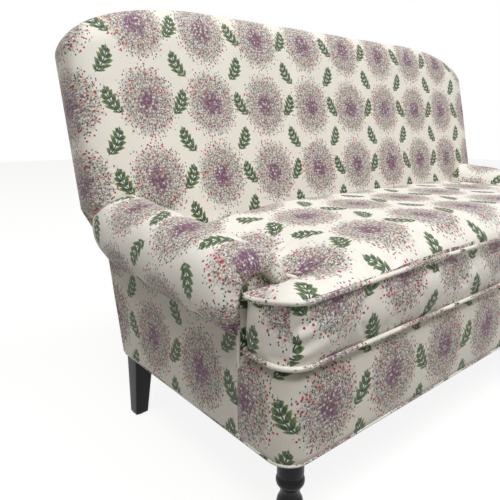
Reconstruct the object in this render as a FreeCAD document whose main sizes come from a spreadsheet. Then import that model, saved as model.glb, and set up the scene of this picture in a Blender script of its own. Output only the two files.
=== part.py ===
"""English roll arm sofa: beech frame, webbed seat and back, padded arms and back, loose bench cushion.

Millimetres. +Z is up and the sofa faces -Y. The origin is on the floor below the middle of the
whole sofa. Left is -X. Sizes in the sheet are worked from the front of the body (y = 0 there),
and every piece is then moved back by the same amount, so that the origin lies in the middle.
"""
import FreeCAD, Part
import math
import os
import re

from FreeCAD import Placement, Rotation, Vector

# Driving dimensions: alias, value, what it measures
DIMENSIONS = [
    ("body_width", 1640, "over the outside arm panels"),
    ("body_depth", 610, "front border to outside back, at the rails' underside"),
    ("front_corner", 50, "radius of the body's front corners, seen from above"),
    ("leg_height", 170, "floor to the underside of the seat rails"),
    ("border_top", 348, "top of the front border"),
    ("border_thick", 20, "front border, padding and cover"),
    ("border_wrap", 135, "how far the border runs back round the corner"),
    ("border_roll", 7, "rounding of the border's top edge"),
    ("side_cover", 12, "outside arm panel's thickness"),
    ("rail_thick", 28, "seat rails and arm posts"),
    ("rail_tall", 112, "seat rails' height"),
    ("rail_corner", 20, "rounding of the side rails' front corners"),
    ("raked_foot", 1, "how far the leaning rail and posts start above the rails' underside"),
    ("brace_dish", 30, "how far the centre brace lies below the rails' top"),
    ("corner_block_leg", 84, "corner block, along each rail"),
    ("corner_block_tall", 60, "corner blocks' height"),
    ("post_front", 132, "front face of the arm posts"),
    ("post_wide", 80, "arm posts' width"),
    ("post_head", 58, "radius of the arm posts' scroll head"),
    ("arm_rail_wide", 60, "arm top rail's width"),
    ("arm_rail_thick", 28, "arm top rail's thickness"),
    ("arm_pad", 30, "inside arm panel's thickness"),
    ("inside_arm_ledge", 30, "where the inside arm meets the roll, below the roll's middle"),
    ("tack_rail_tall", 30, "arm stuffing rail's height"),
    ("arm_width", 122, "outside arm panel's face to the inside arm panel's face"),
    ("roll_radius", 88, "arm roll"),
    ("roll_overhang", 58, "how far the roll stands out past the outside arm"),
    ("roll_front", 118, "front end of the arm rolls"),
    ("roll_top_front", 535, "top of the roll at its front end"),
    ("roll_rise", 38, "how much the roll rises from front to back"),
    ("roll_nose", 40, "rounding of the roll's front end"),
    ("facing_wide", 62, "arm facing"),
    ("facing_thick", 8, "arm facing"),
    ("facing_rise", 5, "middle of the facing's round top, above the middle of the roll"),
    ("facing_foot", 351, "foot of the facing, just above the front border"),
    ("piping_radius", 3.5, "facing piping"),
    ("hem_radius", 3, "hem piping"),
    ("hem_drop", 2, "how far the hem piping hangs below the rails"),
    ("back_rake", 13.4, "degrees that the back leans"),
    ("back_length", 870, "back, measured up its slope"),
    ("back_overhang", 50, "how far the back stands out past the body at each side"),
    ("back_corner", 80, "radius of the back's shoulders"),
    ("back_crest_in", 200, "from the back's side to where its level crest would start, unrounded"),
    ("back_crest_drop", 78, "fall from the crest to the shoulder, unrounded"),
    ("back_thick", 110, "rear face to front face, before the crown"),
    ("back_edge_in", 46, "rounding of the inside back's edge, across the face"),
    ("back_edge_deep", 38, "rounding of the inside back's edge, front to back"),
    ("back_crown", 10, "how far the middle of the inside back stands proud"),
    ("back_crown_in", 110, "from the back's outline to its crown"),
    ("back_notch", 10, "rounding of the back where it widens over the arms"),
    ("back_shoulder", 15, "rounding of the back's lower corners, over the arms"),
    ("back_wide_from", 329, "slope height where the back widens over the arms"),
    ("back_pad_from", 163, "slope height where the inside back starts"),
    ("back_panel", 8, "outside back panel's thickness"),
    ("back_frame_thick", 45, "back posts and top rail"),
    ("back_frame_inset", 20, "padding between the back frame and the outline"),
    ("back_post_wide", 50, "back posts"),
    ("top_rail_tall", 70, "back top rail"),
    ("back_rail_thick", 28, "back seat rail and back stuffing rail"),
    ("stuffing_rail_from", 225, "slope height of the back stuffing rail"),
    ("stuffing_rail_tall", 50, "back stuffing rail's height"),
    ("upright_wide", 44, "back centre upright"),
    ("strap_wide", 60, "webbing"),
    ("strap_thick", 2.5, "webbing"),
    ("seat_straps", 7, "straps from front to back"),
    ("cross_straps", 2, "straps from side to side"),
    ("back_straps", 3, "straps across the back"),
    ("deck_top", 350, "top of the stuffed seat deck"),
    ("deck_play", 1, "round the stuffed seat deck"),
    ("cushion_gap", 0.6, "under the cushion"),
    ("cushion_play", 1.5, "between the cushion's piping and each inside arm"),
    ("cushion_overhang", 2, "cushion past the front border"),
    ("cushion_boxing", 122, "height between the two pipings"),
    ("cushion_crown", 44, "rise of the cushion's top above its piping"),
    ("cushion_crown_in", 76, "from the cushion's top piping to its crown"),
    ("cushion_foot", 9, "cushion's underside to the middle of its bottom piping"),
    ("cushion_foot_in", 24, "rounding of the cushion's underside"),
    ("cushion_belly", 6, "how far the cushion's sides draw in"),
    ("cushion_corner", 55, "radius of the cushion's front corners"),
    ("cushion_rear_corner", 30, "radius of the cushion's corners at the back"),
    ("ear_corner", 20, "radius of the ears' back corners"),
    ("ear_notch", 12, "radius where an ear meets the part between the arms"),
    ("cushion_piping", 5, "radius of the cushion's piping"),
    ("ear_inset", 8, "end of the cushion's ears, in from the outside arm panel"),
    ("ear_back", 105, "back edge of the cushion's ears"),
    ("ear_follow", 8, "largest inset that the ears' back edge follows evenly"),
    ("ear_ease", 0.25, "share of any further inset that it follows"),
    ("front_leg_side", 68, "front leg's axis, in from the outside arm"),
    ("front_leg_front", 60, "front leg's axis, behind the front border"),
    ("leg_neck", 26, "front leg's radius at the top"),
    ("leg_lip", 23, "front leg's radius where the bead starts, below the neck"),
    ("leg_bead", 28, "front leg's radius at the bead"),
    ("bead_middle", 94, "height of the bead"),
    ("bead_top", 106, "lower end of the leg's neck, where the bead starts"),
    ("leg_waist", 19, "front leg's radius at the waist"),
    ("waist_middle", 68, "height of the waist"),
    ("leg_vase", 27, "front leg's radius at the vase"),
    ("vase_middle", 38, "height of the vase"),
    ("band_tall", 6, "straight band round the bead and the vase"),
    ("leg_toe", 17, "front leg's radius at the floor"),
    ("toe_top", 12, "height of the toe"),
    ("back_leg_top", 50, "back leg's width at the top"),
    ("back_leg_foot", 34, "back leg's width at the foot"),
    ("glide_radius", 11, "nail-on glides"),
    ("glide_thick", 3, "nail-on glides"),
    ("bolt_radius", 4, "hanger bolts"),
    ("bolt_up", 40, "hanger bolt, above the leg"),
    ("bolt_down", 35, "hanger bolt, inside the leg"),
    ("dust_cover", 1.5, "cloth under the seat"),
    ("soft_gap", 0.3, "clearance where a curved or soft piece meets another"),
]

doc = FreeCAD.newDocument("EnglishRollArmSofa")
sheet = doc.addObject("Spreadsheet::Sheet", "Sizes")


class Size:
    """Every driving dimension under its alias, in millimetres, degrees or pieces."""


size = Size()
for row, (alias, value, meaning) in enumerate(DIMENSIONS, start=1):
    sheet.set(f"A{row}", meaning)
    sheet.set(f"B{row}", str(value))
    sheet.setAlias(f"B{row}", alias)
doc.recompute()
for alias, value, meaning in DIMENSIONS:
    setattr(size, alias, float(sheet.get(alias)))

SIDES = (("left", -1), ("right", 1))

# Places that follow from the driving dimensions
rake = math.radians(size.back_rake)
half_body = size.body_width / 2
half_back = half_body + size.back_overhang
rail_outside = half_body - size.side_cover
rail_inside = rail_outside - size.rail_thick
rail_top = size.leg_height + size.rail_tall
post_back = size.post_front + size.rail_thick
post_inside = rail_outside - size.post_wide
arm_inside = half_body - size.arm_width
roll_x = half_body + size.roll_overhang - size.roll_radius
frame_rear = -size.back_panel
frame_front = frame_rear - size.back_frame_thick
frame_length = size.back_length - size.back_frame_inset
half_frame = half_back - size.back_frame_inset
top_rail_from = frame_length - size.top_rail_tall
back_post_inside = rail_outside - size.back_post_wide
straps_top = rail_top + 2 * size.strap_thick
hem_top = size.leg_height - size.hem_drop + 2 * size.hem_radius
facing_front = size.post_front - size.facing_thick


def leaning(height, depth):
    """Y of the plane that lies depth in front of the sofa's rear face (depth is negative), at a height."""
    return size.body_depth + (height - size.leg_height) * math.tan(rake) + depth / math.cos(rake)


# The middle of the sofa, front to back, measured from the front of the body
crest = size.leg_height + size.back_length * math.cos(rake)
rear_most = leaning(crest, 0)
front_most = -size.cushion_overhang - 2 * size.cushion_piping
middle = (rear_most + front_most) / 2
HOME = Vector(0, -middle, 0)
RAKED = Placement(Vector(0, size.body_depth - middle, size.leg_height),
                  Rotation(Vector(1, 0, 0), -size.back_rake))


def roll_z(y):
    """Height of the roll's middle line at a place from front to back."""
    run = leaning(size.roll_top_front, -size.back_thick) - size.roll_front
    start = size.roll_top_front - size.roll_radius
    return start + size.roll_rise * (y - size.roll_front) / run


def scoped(words):
    """Put the sheet's name before each alias in an expression."""
    aliases = {alias for alias, value, meaning in DIMENSIONS}
    return re.sub("[a-z_]+", lambda found: "Sizes." * (found[0] in aliases) + found[0], words)


def bind(item, **expressions):
    """Tie properties to the sheet."""
    for name, words in expressions.items():
        item.setExpression(name, scoped(words))


def home(x=0.0, y=0.0, z=0.0):
    return Placement(HOME + Vector(x, y, z), Rotation())


def raked(x, y, z):
    """Placement in the leaning frame of the back: y 0 on its rear face, z up its slope."""
    return RAKED.multiply(Placement(Vector(x, y, z), Rotation()))


def roll_slope(x):
    """Slope height of the roll's underside at the sofa's rear face, at a place across the roll."""
    middle_z = roll_z(leaning(size.roll_top_front, frame_rear))
    height = middle_z - math.sqrt(size.roll_radius ** 2 - (x - roll_x) ** 2)
    return (height - size.leg_height) / math.cos(rake)


# Outlines are lists of corners, each a point and the radius that rounds it
def rounded_edges(corners):
    """Lines and tangent arcs round a closed outline; a radius of 0 leaves a sharp corner."""
    count = len(corners)
    starts, ends, arcs = [], [], []
    for index in range(count):
        point, radius = corners[index]
        before = (corners[index - 1][0] - point).normalize()
        after = (corners[(index + 1) % count][0] - point).normalize()
        turn = math.pi - before.getAngle(after)
        reach = radius * math.tan(turn / 2)
        first = point + before * reach
        last = point + after * reach
        starts.append(first)
        ends.append(last)
        if radius > 0:
            inward = (before + after).normalize()
            centre = point + inward * (radius / math.cos(turn / 2))
            arcs.append(Part.Arc(first, centre - inward * radius, last))
        else:
            arcs.append(None)
    edges = []
    for index in range(count):
        if arcs[index] is not None:
            edges.append(arcs[index])
        begin = ends[index]
        finish = starts[(index + 1) % count]
        if begin.distanceToPoint(finish) > 1e-6:
            edges.append(Part.LineSegment(begin, finish))
    return edges


def outline_wire(corners, place=None):
    wire = Part.Wire([edge.toShape() for edge in rounded_edges(corners)])
    if place is not None:
        wire.Placement = place
    return wire


def flat(*corners):
    """Corners in the sketch plane from (x, y) or (x, y, radius)."""
    return [(Vector(corner[0], corner[1], 0), corner[2] if len(corner) > 2 else 0.0) for corner in corners]


def mirrored(corners, side):
    """The same outline on the other side; the order turns too, so that it keeps its direction."""
    if side > 0:
        return corners
    return [(Vector(-point.x, point.y, point.z), radius) for point, radius in reversed(corners)]


def datum_plane(body, role):
    for feature in body.Origin.OriginFeatures:
        if feature.Role == role:
            return feature
    raise RuntimeError("no plane " + role)


def add_sketch(body, name, role, edges):
    sketch = body.newObject("Sketcher::SketchObject", name)
    sketch.AttachmentSupport = (datum_plane(body, role), [""])
    sketch.MapMode = "FlatFace"
    for edge in edges:
        sketch.addGeometry(edge, False)
    return sketch


def plate(label, role, corners, thickness, place, backwards=False):
    """A board, panel or pad: one outline pushed to a thickness that the sheet gives."""
    body = doc.addObject("PartDesign::Body", label)
    sketch = add_sketch(body, label + "_outline", role, rounded_edges(corners))
    pad = body.newObject("PartDesign::Pad", label + "_thickness")
    pad.Profile = sketch
    pad.Reversed = backwards
    bind(pad, Length=thickness)
    body.Placement = place
    return body


def beam(label, length, width, height, place):
    """A straight rail, post or strap, its three sizes tied to the sheet."""
    box = doc.addObject("Part::Box", label)
    bind(box, Length=length, Width=width, Height=height)
    box.Placement = place
    return box


def cut_by(label, base, tools):
    """The base with the tools' shapes taken out."""
    doc.recompute()
    shape = base.Shape.copy()
    for tool in tools:
        shape = shape.cut(tool)
    return shape_item(label, shape)


def shape_item(label, shape):
    if shape.ShapeType == "Compound" and len(shape.Solids) == 1:
        shape = shape.Solids[0]
    item = doc.addObject("Part::Feature", label)
    item.Shape = shape
    return item


def box_at(x0, x1, y0, y1, z0, z1, place=None):
    """A plain block between two corners, used to cut with."""
    box = Part.makeBox(x1 - x0, y1 - y0, z1 - z0, Vector(x0, y0, z0))
    return box.transformed((place or home()).toMatrix())


def crest_corners(inset):
    """The back's top, moved in by inset: at each side a shoulder, a short straight run as long as
    back_notch, then a long curve to the level crest."""
    shoulder_z = size.back_length - size.back_crest_drop
    slope = math.atan2(size.back_crest_drop, size.back_crest_in)
    wide, top = half_back - inset, size.back_length - inset
    beside = shoulder_z - inset * (1 - math.sin(slope)) / math.cos(slope)
    crest = half_back - (inset + (top - shoulder_z) * math.cos(slope)) / math.sin(slope)
    small = max(size.back_corner - inset, size.back_notch)
    run = math.hypot(wide - crest, top - beside) - small * math.tan((math.pi / 2 - slope) / 2)
    large = (run - size.back_notch) / math.tan(slope / 2)
    return ((wide, beside, small), (crest, top, large), (-crest, top, large), (-wide, beside, small))


# Seat frame
def seat_frame():
    """Four beech rails, the dished centre brace and the glued corner blocks."""
    front = beam("front_seat_rail", "body_width - 2 * side_cover - 2 * rail_thick", "rail_thick",
                 "rail_tall", home(-rail_inside, size.border_thick, size.leg_height))
    rear_x = back_post_inside
    back = beam("back_seat_rail", "body_width - 2 * side_cover - 2 * back_post_wide", "back_rail_thick",
                "(rail_tall - (back_panel + back_frame_thick) * sin(back_rake * 1 deg))"
                " / cos(back_rake * 1 deg) - raked_foot", raked(-rear_x, frame_front, size.raked_foot))
    items = [front, back]
    for name, side in SIDES:
        rail = flat((size.border_thick, size.leg_height), (leaning(size.leg_height, frame_front), size.leg_height),
                    (leaning(rail_top, frame_front), rail_top), (size.border_thick, rail_top))
        inner = rail_inside if side > 0 else -rail_outside
        body = plate(f"{name}_seat_rail", "YZ_Plane", rail, "rail_thick", home(inner))
        round_rail_corner(body, size.rail_thick if side > 0 else 0)
        items.append(body)
    brace_top = rail_top - size.brace_dish
    front_y = size.border_thick + size.rail_thick
    brace = flat((front_y, size.leg_height), (leaning(size.leg_height, frame_front), size.leg_height),
                 (leaning(brace_top, frame_front), brace_top), (front_y, brace_top))
    items.append(plate("centre_seat_brace", "YZ_Plane", brace, "rail_thick", home(-size.rail_thick / 2)))
    return items


def round_rail_corner(body, outer_x):
    """Round the upright edge where a side rail turns the front corner, under the border."""
    doc.recompute()
    board = body.Tip
    chosen = []
    for index, edge in enumerate(board.Shape.Edges):
        box = edge.BoundBox
        upright = box.ZLength > size.rail_tall - 1
        if upright and abs(box.XMin - outer_x) < 0.1 and abs(box.YMin - size.border_thick) < 0.1:
            chosen.append(f"Edge{index + 1}")
    rounded = body.newObject("PartDesign::Fillet", body.Label + "_corner")
    rounded.Base = (board, chosen)
    bind(rounded, Radius="rail_corner")


def corner_blocks():
    """Triangular blocks glued into the front corners, and blocks against the back posts."""
    items = []
    front_y = size.border_thick + size.rail_thick
    leg = size.corner_block_leg
    for name, side in SIDES:
        triangle = mirrored(flat((rail_inside - leg, front_y), (rail_inside, front_y),
                                 (rail_inside, front_y + leg)), side)
        block = plate(f"{name}_front_block_blank", "XY_Plane", triangle, "corner_block_tall",
                      home(z=size.leg_height))
        items.append(cut_by(f"{name}_front_corner_block", block, [hanger_bolt(side, True)]))
        top = size.leg_height + size.corner_block_tall
        rear = leaning(size.leg_height, frame_front)
        wedge = flat((rear - leg / 2, size.leg_height), (rear, size.leg_height),
                     (leaning(top, frame_front), top), (rear - leg / 2, top))
        inner = rail_inside - leg / 2 if side > 0 else -rail_inside
        items.append(plate(f"{name}_back_corner_block", "YZ_Plane", wedge, "corner_block_leg / 2", home(inner)))
    return items


# Legs and what holds them
def leg_axis(side, front):
    """Middle of a leg, from the front of the body."""
    if front:
        return Vector(side * (half_body - size.front_leg_side), size.front_leg_front, 0)
    inset = size.side_cover / 2 + size.back_leg_top / 2
    rear = leaning(size.leg_height, frame_rear)
    return Vector(side * (half_body - inset), rear - size.back_leg_top / 2, 0)


def hanger_bolt(side, front):
    axis = leg_axis(side, front) + HOME
    start = axis + Vector(0, 0, size.leg_height - size.bolt_down)
    return Part.makeCylinder(size.bolt_radius, size.bolt_up + size.bolt_down, start)


def front_leg(label, side):
    """Turned leg: neck, bead, waist, vase and toe, one profile turned about its axis."""
    body = doc.addObject("PartDesign::Body", label)
    top, foot, band = size.leg_height, size.glide_thick, size.band_tall / 2
    profile = flat((0, top), (size.leg_neck, top), (size.leg_neck, size.bead_top),
                   (size.leg_lip, size.bead_top), (size.leg_bead, size.bead_middle + band),
                   (size.leg_bead, size.bead_middle - band),
                   (size.leg_waist, size.waist_middle), (size.leg_vase, size.vase_middle + band),
                   (size.leg_vase, size.vase_middle - band), (size.leg_toe, size.toe_top),
                   (size.leg_toe, foot), (0, foot))
    sketch = add_sketch(body, label + "_profile", "XZ_Plane", rounded_edges(profile))
    turned = body.newObject("PartDesign::Revolution", label + "_turning")
    turned.Profile = sketch
    turned.ReferenceAxis = (sketch, ["V_Axis"])
    turned.Angle = 360
    bore_leg(body, label)
    body.Placement = Placement(leg_axis(side, True) + HOME, Rotation())
    return body


def bore_leg(body, label):
    """The bolt's hole, down from the leg's top."""
    circle = Part.Circle(Vector(0, 0, 0), Vector(0, 0, 1), size.bolt_radius)
    sketch = add_sketch(body, label + "_bore_outline", "XY_Plane", [circle])
    sketch.AttachmentOffset = Placement(Vector(0, 0, size.leg_height), Rotation())
    bore = body.newObject("PartDesign::Pocket", label + "_bore")
    bore.Profile = sketch
    bind(bore, Length="bolt_down")
    body.Tip = bore


def back_leg(label, side):
    """Square leg: outer and rear faces upright, inner and front faces tapered, softened foot."""
    body = doc.addObject("PartDesign::Body", label)
    half = size.back_leg_top / 2
    square = flat((-half, -half), (half, -half), (half, half), (-half, half))
    sketch = add_sketch(body, label + "_top", "XY_Plane", rounded_edges(square))
    sketch.AttachmentOffset = Placement(Vector(0, 0, size.leg_height), Rotation())
    block = body.newObject("PartDesign::Pad", label + "_block")
    block.Profile = sketch
    block.Reversed = True
    bind(block, Length="leg_height - glide_thick")
    doc.recompute()
    inner, ends = [], []
    for index, face in enumerate(block.Shape.Faces):
        middle = face.CenterOfMass
        if abs(middle.x + side * half) < 1 or abs(middle.y + half) < 1:
            inner.append(f"Face{index + 1}")
        if middle.z > size.leg_height - 1:
            ends.append(f"Face{index + 1}")
    taper = body.newObject("PartDesign::Draft", label + "_taper")
    taper.Base = (block, inner)
    taper.NeutralPlane = (block, ends)
    taper.Reversed = True
    bind(taper, Angle="atan((back_leg_top - back_leg_foot) / (leg_height - glide_thick))")
    doc.recompute()
    low = [f"Edge{index + 1}" for index, edge in enumerate(taper.Shape.Edges)
           if edge.BoundBox.ZMax < size.glide_thick + 1]
    softened = body.newObject("PartDesign::Chamfer", label + "_soft_foot")
    softened.Base = (taper, low)
    bind(softened, Size="glide_thick")
    bore_leg(body, label)
    body.Placement = Placement(leg_axis(side, False) + HOME, Rotation())
    return body


def legs():
    items, bolts, glides = [], [], []
    for name, side in SIDES:
        items.append(front_leg(f"{name}_front_leg", side))
        items.append(back_leg(f"{name}_back_leg", side))
        for front in (True, False):
            bolts.append(hanger_bolt(side, front))
            place = leg_axis(side, front) + HOME
            if not front:
                shift = (size.back_leg_top - size.back_leg_foot) / 2
                place = place + Vector(side * shift, shift, 0)
            glides.append(Part.makeCylinder(size.glide_radius, size.glide_thick, place))
    items.append(shape_item("leg_bolts", Part.makeCompound(bolts)))
    items.append(shape_item("leg_glides", Part.makeCompound(glides)))
    return items


# Back frame
def frame_outline():
    """The back frame's outline: straight sides, shoulders and crest."""
    return flat((-half_frame, 0), (half_frame, 0), *crest_corners(size.back_frame_inset))


def outline_block():
    face = Part.Face(outline_wire(frame_outline()))
    solid = face.extrude(Vector(0, 0, size.back_frame_thick))
    upright = Placement(Vector(0, frame_rear, 0), Rotation(Vector(1, 0, 0), 90))
    return solid.transformed(RAKED.multiply(upright).toMatrix())


def shaped(label, blank, outline):
    """A sawn piece: the blank, trimmed to the back's outline."""
    doc.recompute()
    return shape_item(label, blank.Shape.common(outline))


def back_frame():
    outline = outline_block()
    items = []
    top_blank = beam("top_rail_blank", "body_width + 2 * back_overhang - 2 * back_frame_inset", "back_frame_thick",
                     "top_rail_tall", raked(-half_frame, frame_front, top_rail_from))
    items.append(shaped("back_top_rail", top_blank, outline))
    items.append(beam("back_stuffing_rail", "body_width - 2 * side_cover - 2 * back_post_wide",
                      "back_rail_thick", "stuffing_rail_tall",
                      raked(-back_post_inside, frame_front, size.stuffing_rail_from)))
    upright_from = size.stuffing_rail_from + size.stuffing_rail_tall
    items.append(beam("back_centre_upright", "upright_wide", "back_rail_thick",
                      "back_length - back_frame_inset - top_rail_tall - stuffing_rail_from"
                      " - stuffing_rail_tall",
                      raked(-size.upright_wide / 2, frame_front, upright_from)))
    for name, side in SIDES:
        inner = back_post_inside if side > 0 else -rail_outside
        post = beam(f"{name}_back_post_blank", "back_post_wide", "back_frame_thick",
                    "back_length - back_frame_inset - top_rail_tall - raked_foot",
                    raked(inner, frame_front, size.raked_foot))
        items.append(cut_by(f"{name}_back_post", post, [hanger_bolt(side, False)]))
        wing_x = rail_outside if side > 0 else -half_frame
        wing = beam(f"{name}_wing_blank", "back_overhang - back_frame_inset + side_cover", "back_frame_thick",
                    "back_length - back_frame_inset - top_rail_tall - back_wide_from - back_panel",
                    raked(wing_x, frame_front, size.back_wide_from + size.back_panel))
        items.append(shaped(f"{name}_back_wing", wing, outline))
    return items


# Arm frame
def arm_frame():
    items = []
    for name, side in SIDES:
        head_z = roll_z(size.post_front)
        stem = mirrored(flat((post_inside, size.leg_height), (rail_inside, size.leg_height),
                             (rail_inside, rail_top), (rail_outside, rail_top),
                             (rail_outside, head_z), (post_inside, head_z)), side)
        body = doc.addObject("PartDesign::Body", f"{name}_arm_post")
        sketch = add_sketch(body, f"{name}_arm_post_stem", "XZ_Plane", rounded_edges(stem))
        pad = body.newObject("PartDesign::Pad", f"{name}_arm_post_board")
        pad.Profile = sketch
        bind(pad, Length="rail_thick")
        circle = Part.Circle(Vector(side * roll_x, head_z, 0), Vector(0, 0, 1), size.post_head)
        head = add_sketch(body, f"{name}_arm_post_scroll", "XZ_Plane", [circle])
        scroll = body.newObject("PartDesign::Pad", f"{name}_arm_post_head")
        scroll.Profile = head
        bind(scroll, Length="rail_thick")
        body.Tip = scroll
        body.Placement = home(y=post_back)
        items.append(body)
        half = size.arm_rail_thick / 2
        end_z = roll_z(leaning(size.roll_top_front, frame_front))
        rail = flat((post_back, roll_z(post_back) - half), (leaning(end_z - half, frame_front), end_z - half),
                    (leaning(end_z + half, frame_front), end_z + half), (post_back, roll_z(post_back) + half))
        inner = side * roll_x - size.arm_rail_wide / 2
        items.append(plate(f"{name}_arm_top_rail", "YZ_Plane", rail, "arm_rail_wide", home(inner)))
        low = straps_top + size.tack_rail_tall / 2
        high = low + size.tack_rail_tall
        tack = flat((post_back, low), (leaning(low, frame_front), low), (leaning(high, frame_front), high),
                    (post_back, high))
        inner = post_inside if side > 0 else -post_inside - size.rail_thick
        items.append(plate(f"{name}_arm_stuffing_rail", "YZ_Plane", tack, "rail_thick", home(inner)))
    return items


# Webbing
def webbing():
    """Straps tacked over the rails: front to back, then across, and across the back."""
    items = []
    count = int(size.seat_straps)
    pitch = (2 * back_post_inside - size.strap_wide) / count
    for index in range(count):
        x = (index - (count - 1) / 2) * pitch - size.strap_wide / 2
        items.append(beam(f"seat_strap_{index + 1}", "strap_wide",
                          "body_depth - border_thick - 2 * soft_gap + rail_tall * tan(back_rake * 1 deg)"
                          " - (back_panel + back_frame_thick) / cos(back_rake * 1 deg) + strap_thick",
                          "strap_thick", home(x, size.border_thick + 2 * size.soft_gap, rail_top)))
    count = int(size.cross_straps)
    room = leaning(rail_top, frame_front) - post_back
    for index in range(count):
        y = post_back + room * (index + 1) / (count + 1) - size.strap_wide / 2
        items.append(beam(f"cross_strap_{index + 1}", "body_width - 2 * side_cover", "strap_wide",
                          "strap_thick", home(-rail_outside, y, rail_top + size.strap_thick)))
    count = int(size.back_straps)
    start = size.stuffing_rail_from + size.stuffing_rail_tall
    for index in range(count):
        rise = start + (top_rail_from - start) * (index + 1) / (count + 1) - size.strap_wide / 2
        items.append(beam(f"back_strap_{index + 1}", "body_width - 2 * side_cover", "strap_thick",
                          "strap_wide", raked(-rail_outside, frame_front - size.strap_thick, rise)))
    return items


# Body covers
def front_border():
    """One padded strip across the front and round both corners, its top edge rolled over."""
    inner = half_body - size.side_cover
    outline = flat((-half_body, size.border_wrap), (-half_body, 0, size.front_corner),
                   (half_body, 0, size.front_corner), (half_body, size.border_wrap),
                   (inner, size.border_wrap), (inner, size.border_thick, size.rail_corner),
                   (-inner, size.border_thick, size.rail_corner), (-inner, size.border_wrap))
    body = plate("front_border", "XY_Plane", outline,
                 "border_top - leg_height + hem_drop - 2 * hem_radius", home(z=hem_top))
    doc.recompute()
    pad = body.Tip
    tall = size.border_top - hem_top
    chosen = []
    for index, edge in enumerate(pad.Shape.Edges):
        box = edge.BoundBox
        along_front = abs(box.YMin) < 1 and abs(box.YMax) < 1
        if along_front and box.ZMin > tall - 1:
            chosen.append(f"Edge{index + 1}")
    softened = body.newObject("PartDesign::Fillet", "front_border_roll")
    softened.Base = (pad, chosen)
    bind(softened, Radius="border_roll")
    return [body]


def seat_deck():
    """Stuffed deck on the webbing, with an ear in front of each arm post."""
    play = size.deck_play
    ear = rail_outside - 2 * play
    wide = arm_inside - play
    front = size.border_thick + play
    ear_end = facing_front - 2 * play
    rear = leaning(straps_top, -size.back_thick - size.back_crown) - play
    outline = flat((-ear, front, size.front_corner), (ear, front, size.front_corner), (ear, ear_end),
                   (wide, ear_end), (wide, rear), (-wide, rear), (-wide, ear_end), (-ear, ear_end))
    deck = plate("seat_deck", "XY_Plane", outline,
                 "deck_top - leg_height - rail_tall - 2 * strap_thick", home(z=straps_top))
    return [deck]


def turned_blank(outline, start, direction):
    """A profile of (radius, distance) turned about a line."""
    face = Part.Face(outline_wire(flat(*outline)))
    solid = face.revolve(Vector(0, 0, 0), Vector(0, 1, 0), 360)
    return solid.transformed(Placement(start, Rotation(Vector(0, 1, 0), direction)).toMatrix())


def roll_solid(grow=0.0):
    """The right arm roll as a full round, from its front end into the back; grow widens it."""
    radius = size.roll_radius + grow
    start = Vector(roll_x, size.roll_front, roll_z(size.roll_front))
    far = Vector(roll_x, size.body_depth + size.back_thick, roll_z(size.body_depth + size.back_thick))
    nose = 0 if grow else size.roll_nose
    steps = [math.radians(angle) for angle in ((0, 30, 60, 90) if nose else (0,))]
    rounding = [(radius - nose + nose * math.sin(step), nose - nose * math.cos(step)) for step in steps]
    length = (far - start).Length
    outline = [(0, 0)] + rounding + [(radius, length), (0, length)]
    return turned_blank(outline, start + HOME, far - start)


def frame_pocket():
    """Room for the back frame and its webbing, open towards the outside back."""
    gap = size.soft_gap
    half = half_frame + gap
    outline = flat((-half, 0), (half, 0), *crest_corners(size.back_frame_inset - gap))
    deep = size.back_frame_thick + size.strap_thick + gap
    pocket = Part.Face(outline_wire(outline)).extrude(Vector(0, 0, deep + size.back_panel))
    upright = Placement(Vector(0, frame_rear + size.back_panel, 0), Rotation(Vector(1, 0, 0), 90))
    return pocket.transformed(RAKED.multiply(upright).toMatrix())


def back_space(depth):
    """Everything behind the leaning plane at a depth, as a large block."""
    reach = 2 * half_back
    return box_at(-reach, reach, depth, depth + reach, -reach, 2 * reach, RAKED)


def facing_outline(grow=0.0):
    """Facing: straight sides and a half-round top; its foot stands just above the front border."""
    half = size.facing_wide / 2 + grow
    middle_x = half_body - size.facing_wide / 2
    top = roll_z(size.roll_front) + size.facing_rise + half
    crown = half - 0.01
    return flat((middle_x - half, size.facing_foot), (middle_x + half, size.facing_foot),
                (middle_x + half, top, crown), (middle_x - half, top, crown))


def mirror_shape(shape, side):
    if side > 0:
        return shape
    return shape.mirror(Vector(0, 0, 0), Vector(1, 0, 0))


def facing_recess():
    """What the facing and its piping take out of the end of the roll."""
    grow = 2 * size.piping_radius + 2 * size.soft_gap
    outline = facing_outline(grow)
    start = roll_z(size.roll_front) - 2 * size.roll_radius
    outline[0] = (Vector(outline[0][0].x, start, 0), 0.0)
    outline[1] = (Vector(outline[1][0].x, start, 0), 0.0)
    face = Part.Face(outline_wire(outline))
    depth = size.post_front - size.roll_front + size.roll_radius
    solid = face.extrude(Vector(0, 0, depth))
    upright = Placement(Vector(0, size.post_front, 0), Rotation(Vector(1, 0, 0), 90))
    return solid.transformed(home().multiply(upright).toMatrix())


def arm_side_view(front, foot, depth, above_middle):
    """Side view of an arm panel: from its foot up into the roll, its rear edge along the leaning back."""
    far = leaning(roll_z(size.body_depth) + above_middle, depth)
    return flat((front, foot), (leaning(foot, depth), foot), (far, roll_z(far) + above_middle),
                (front, roll_z(front) + above_middle))


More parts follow.
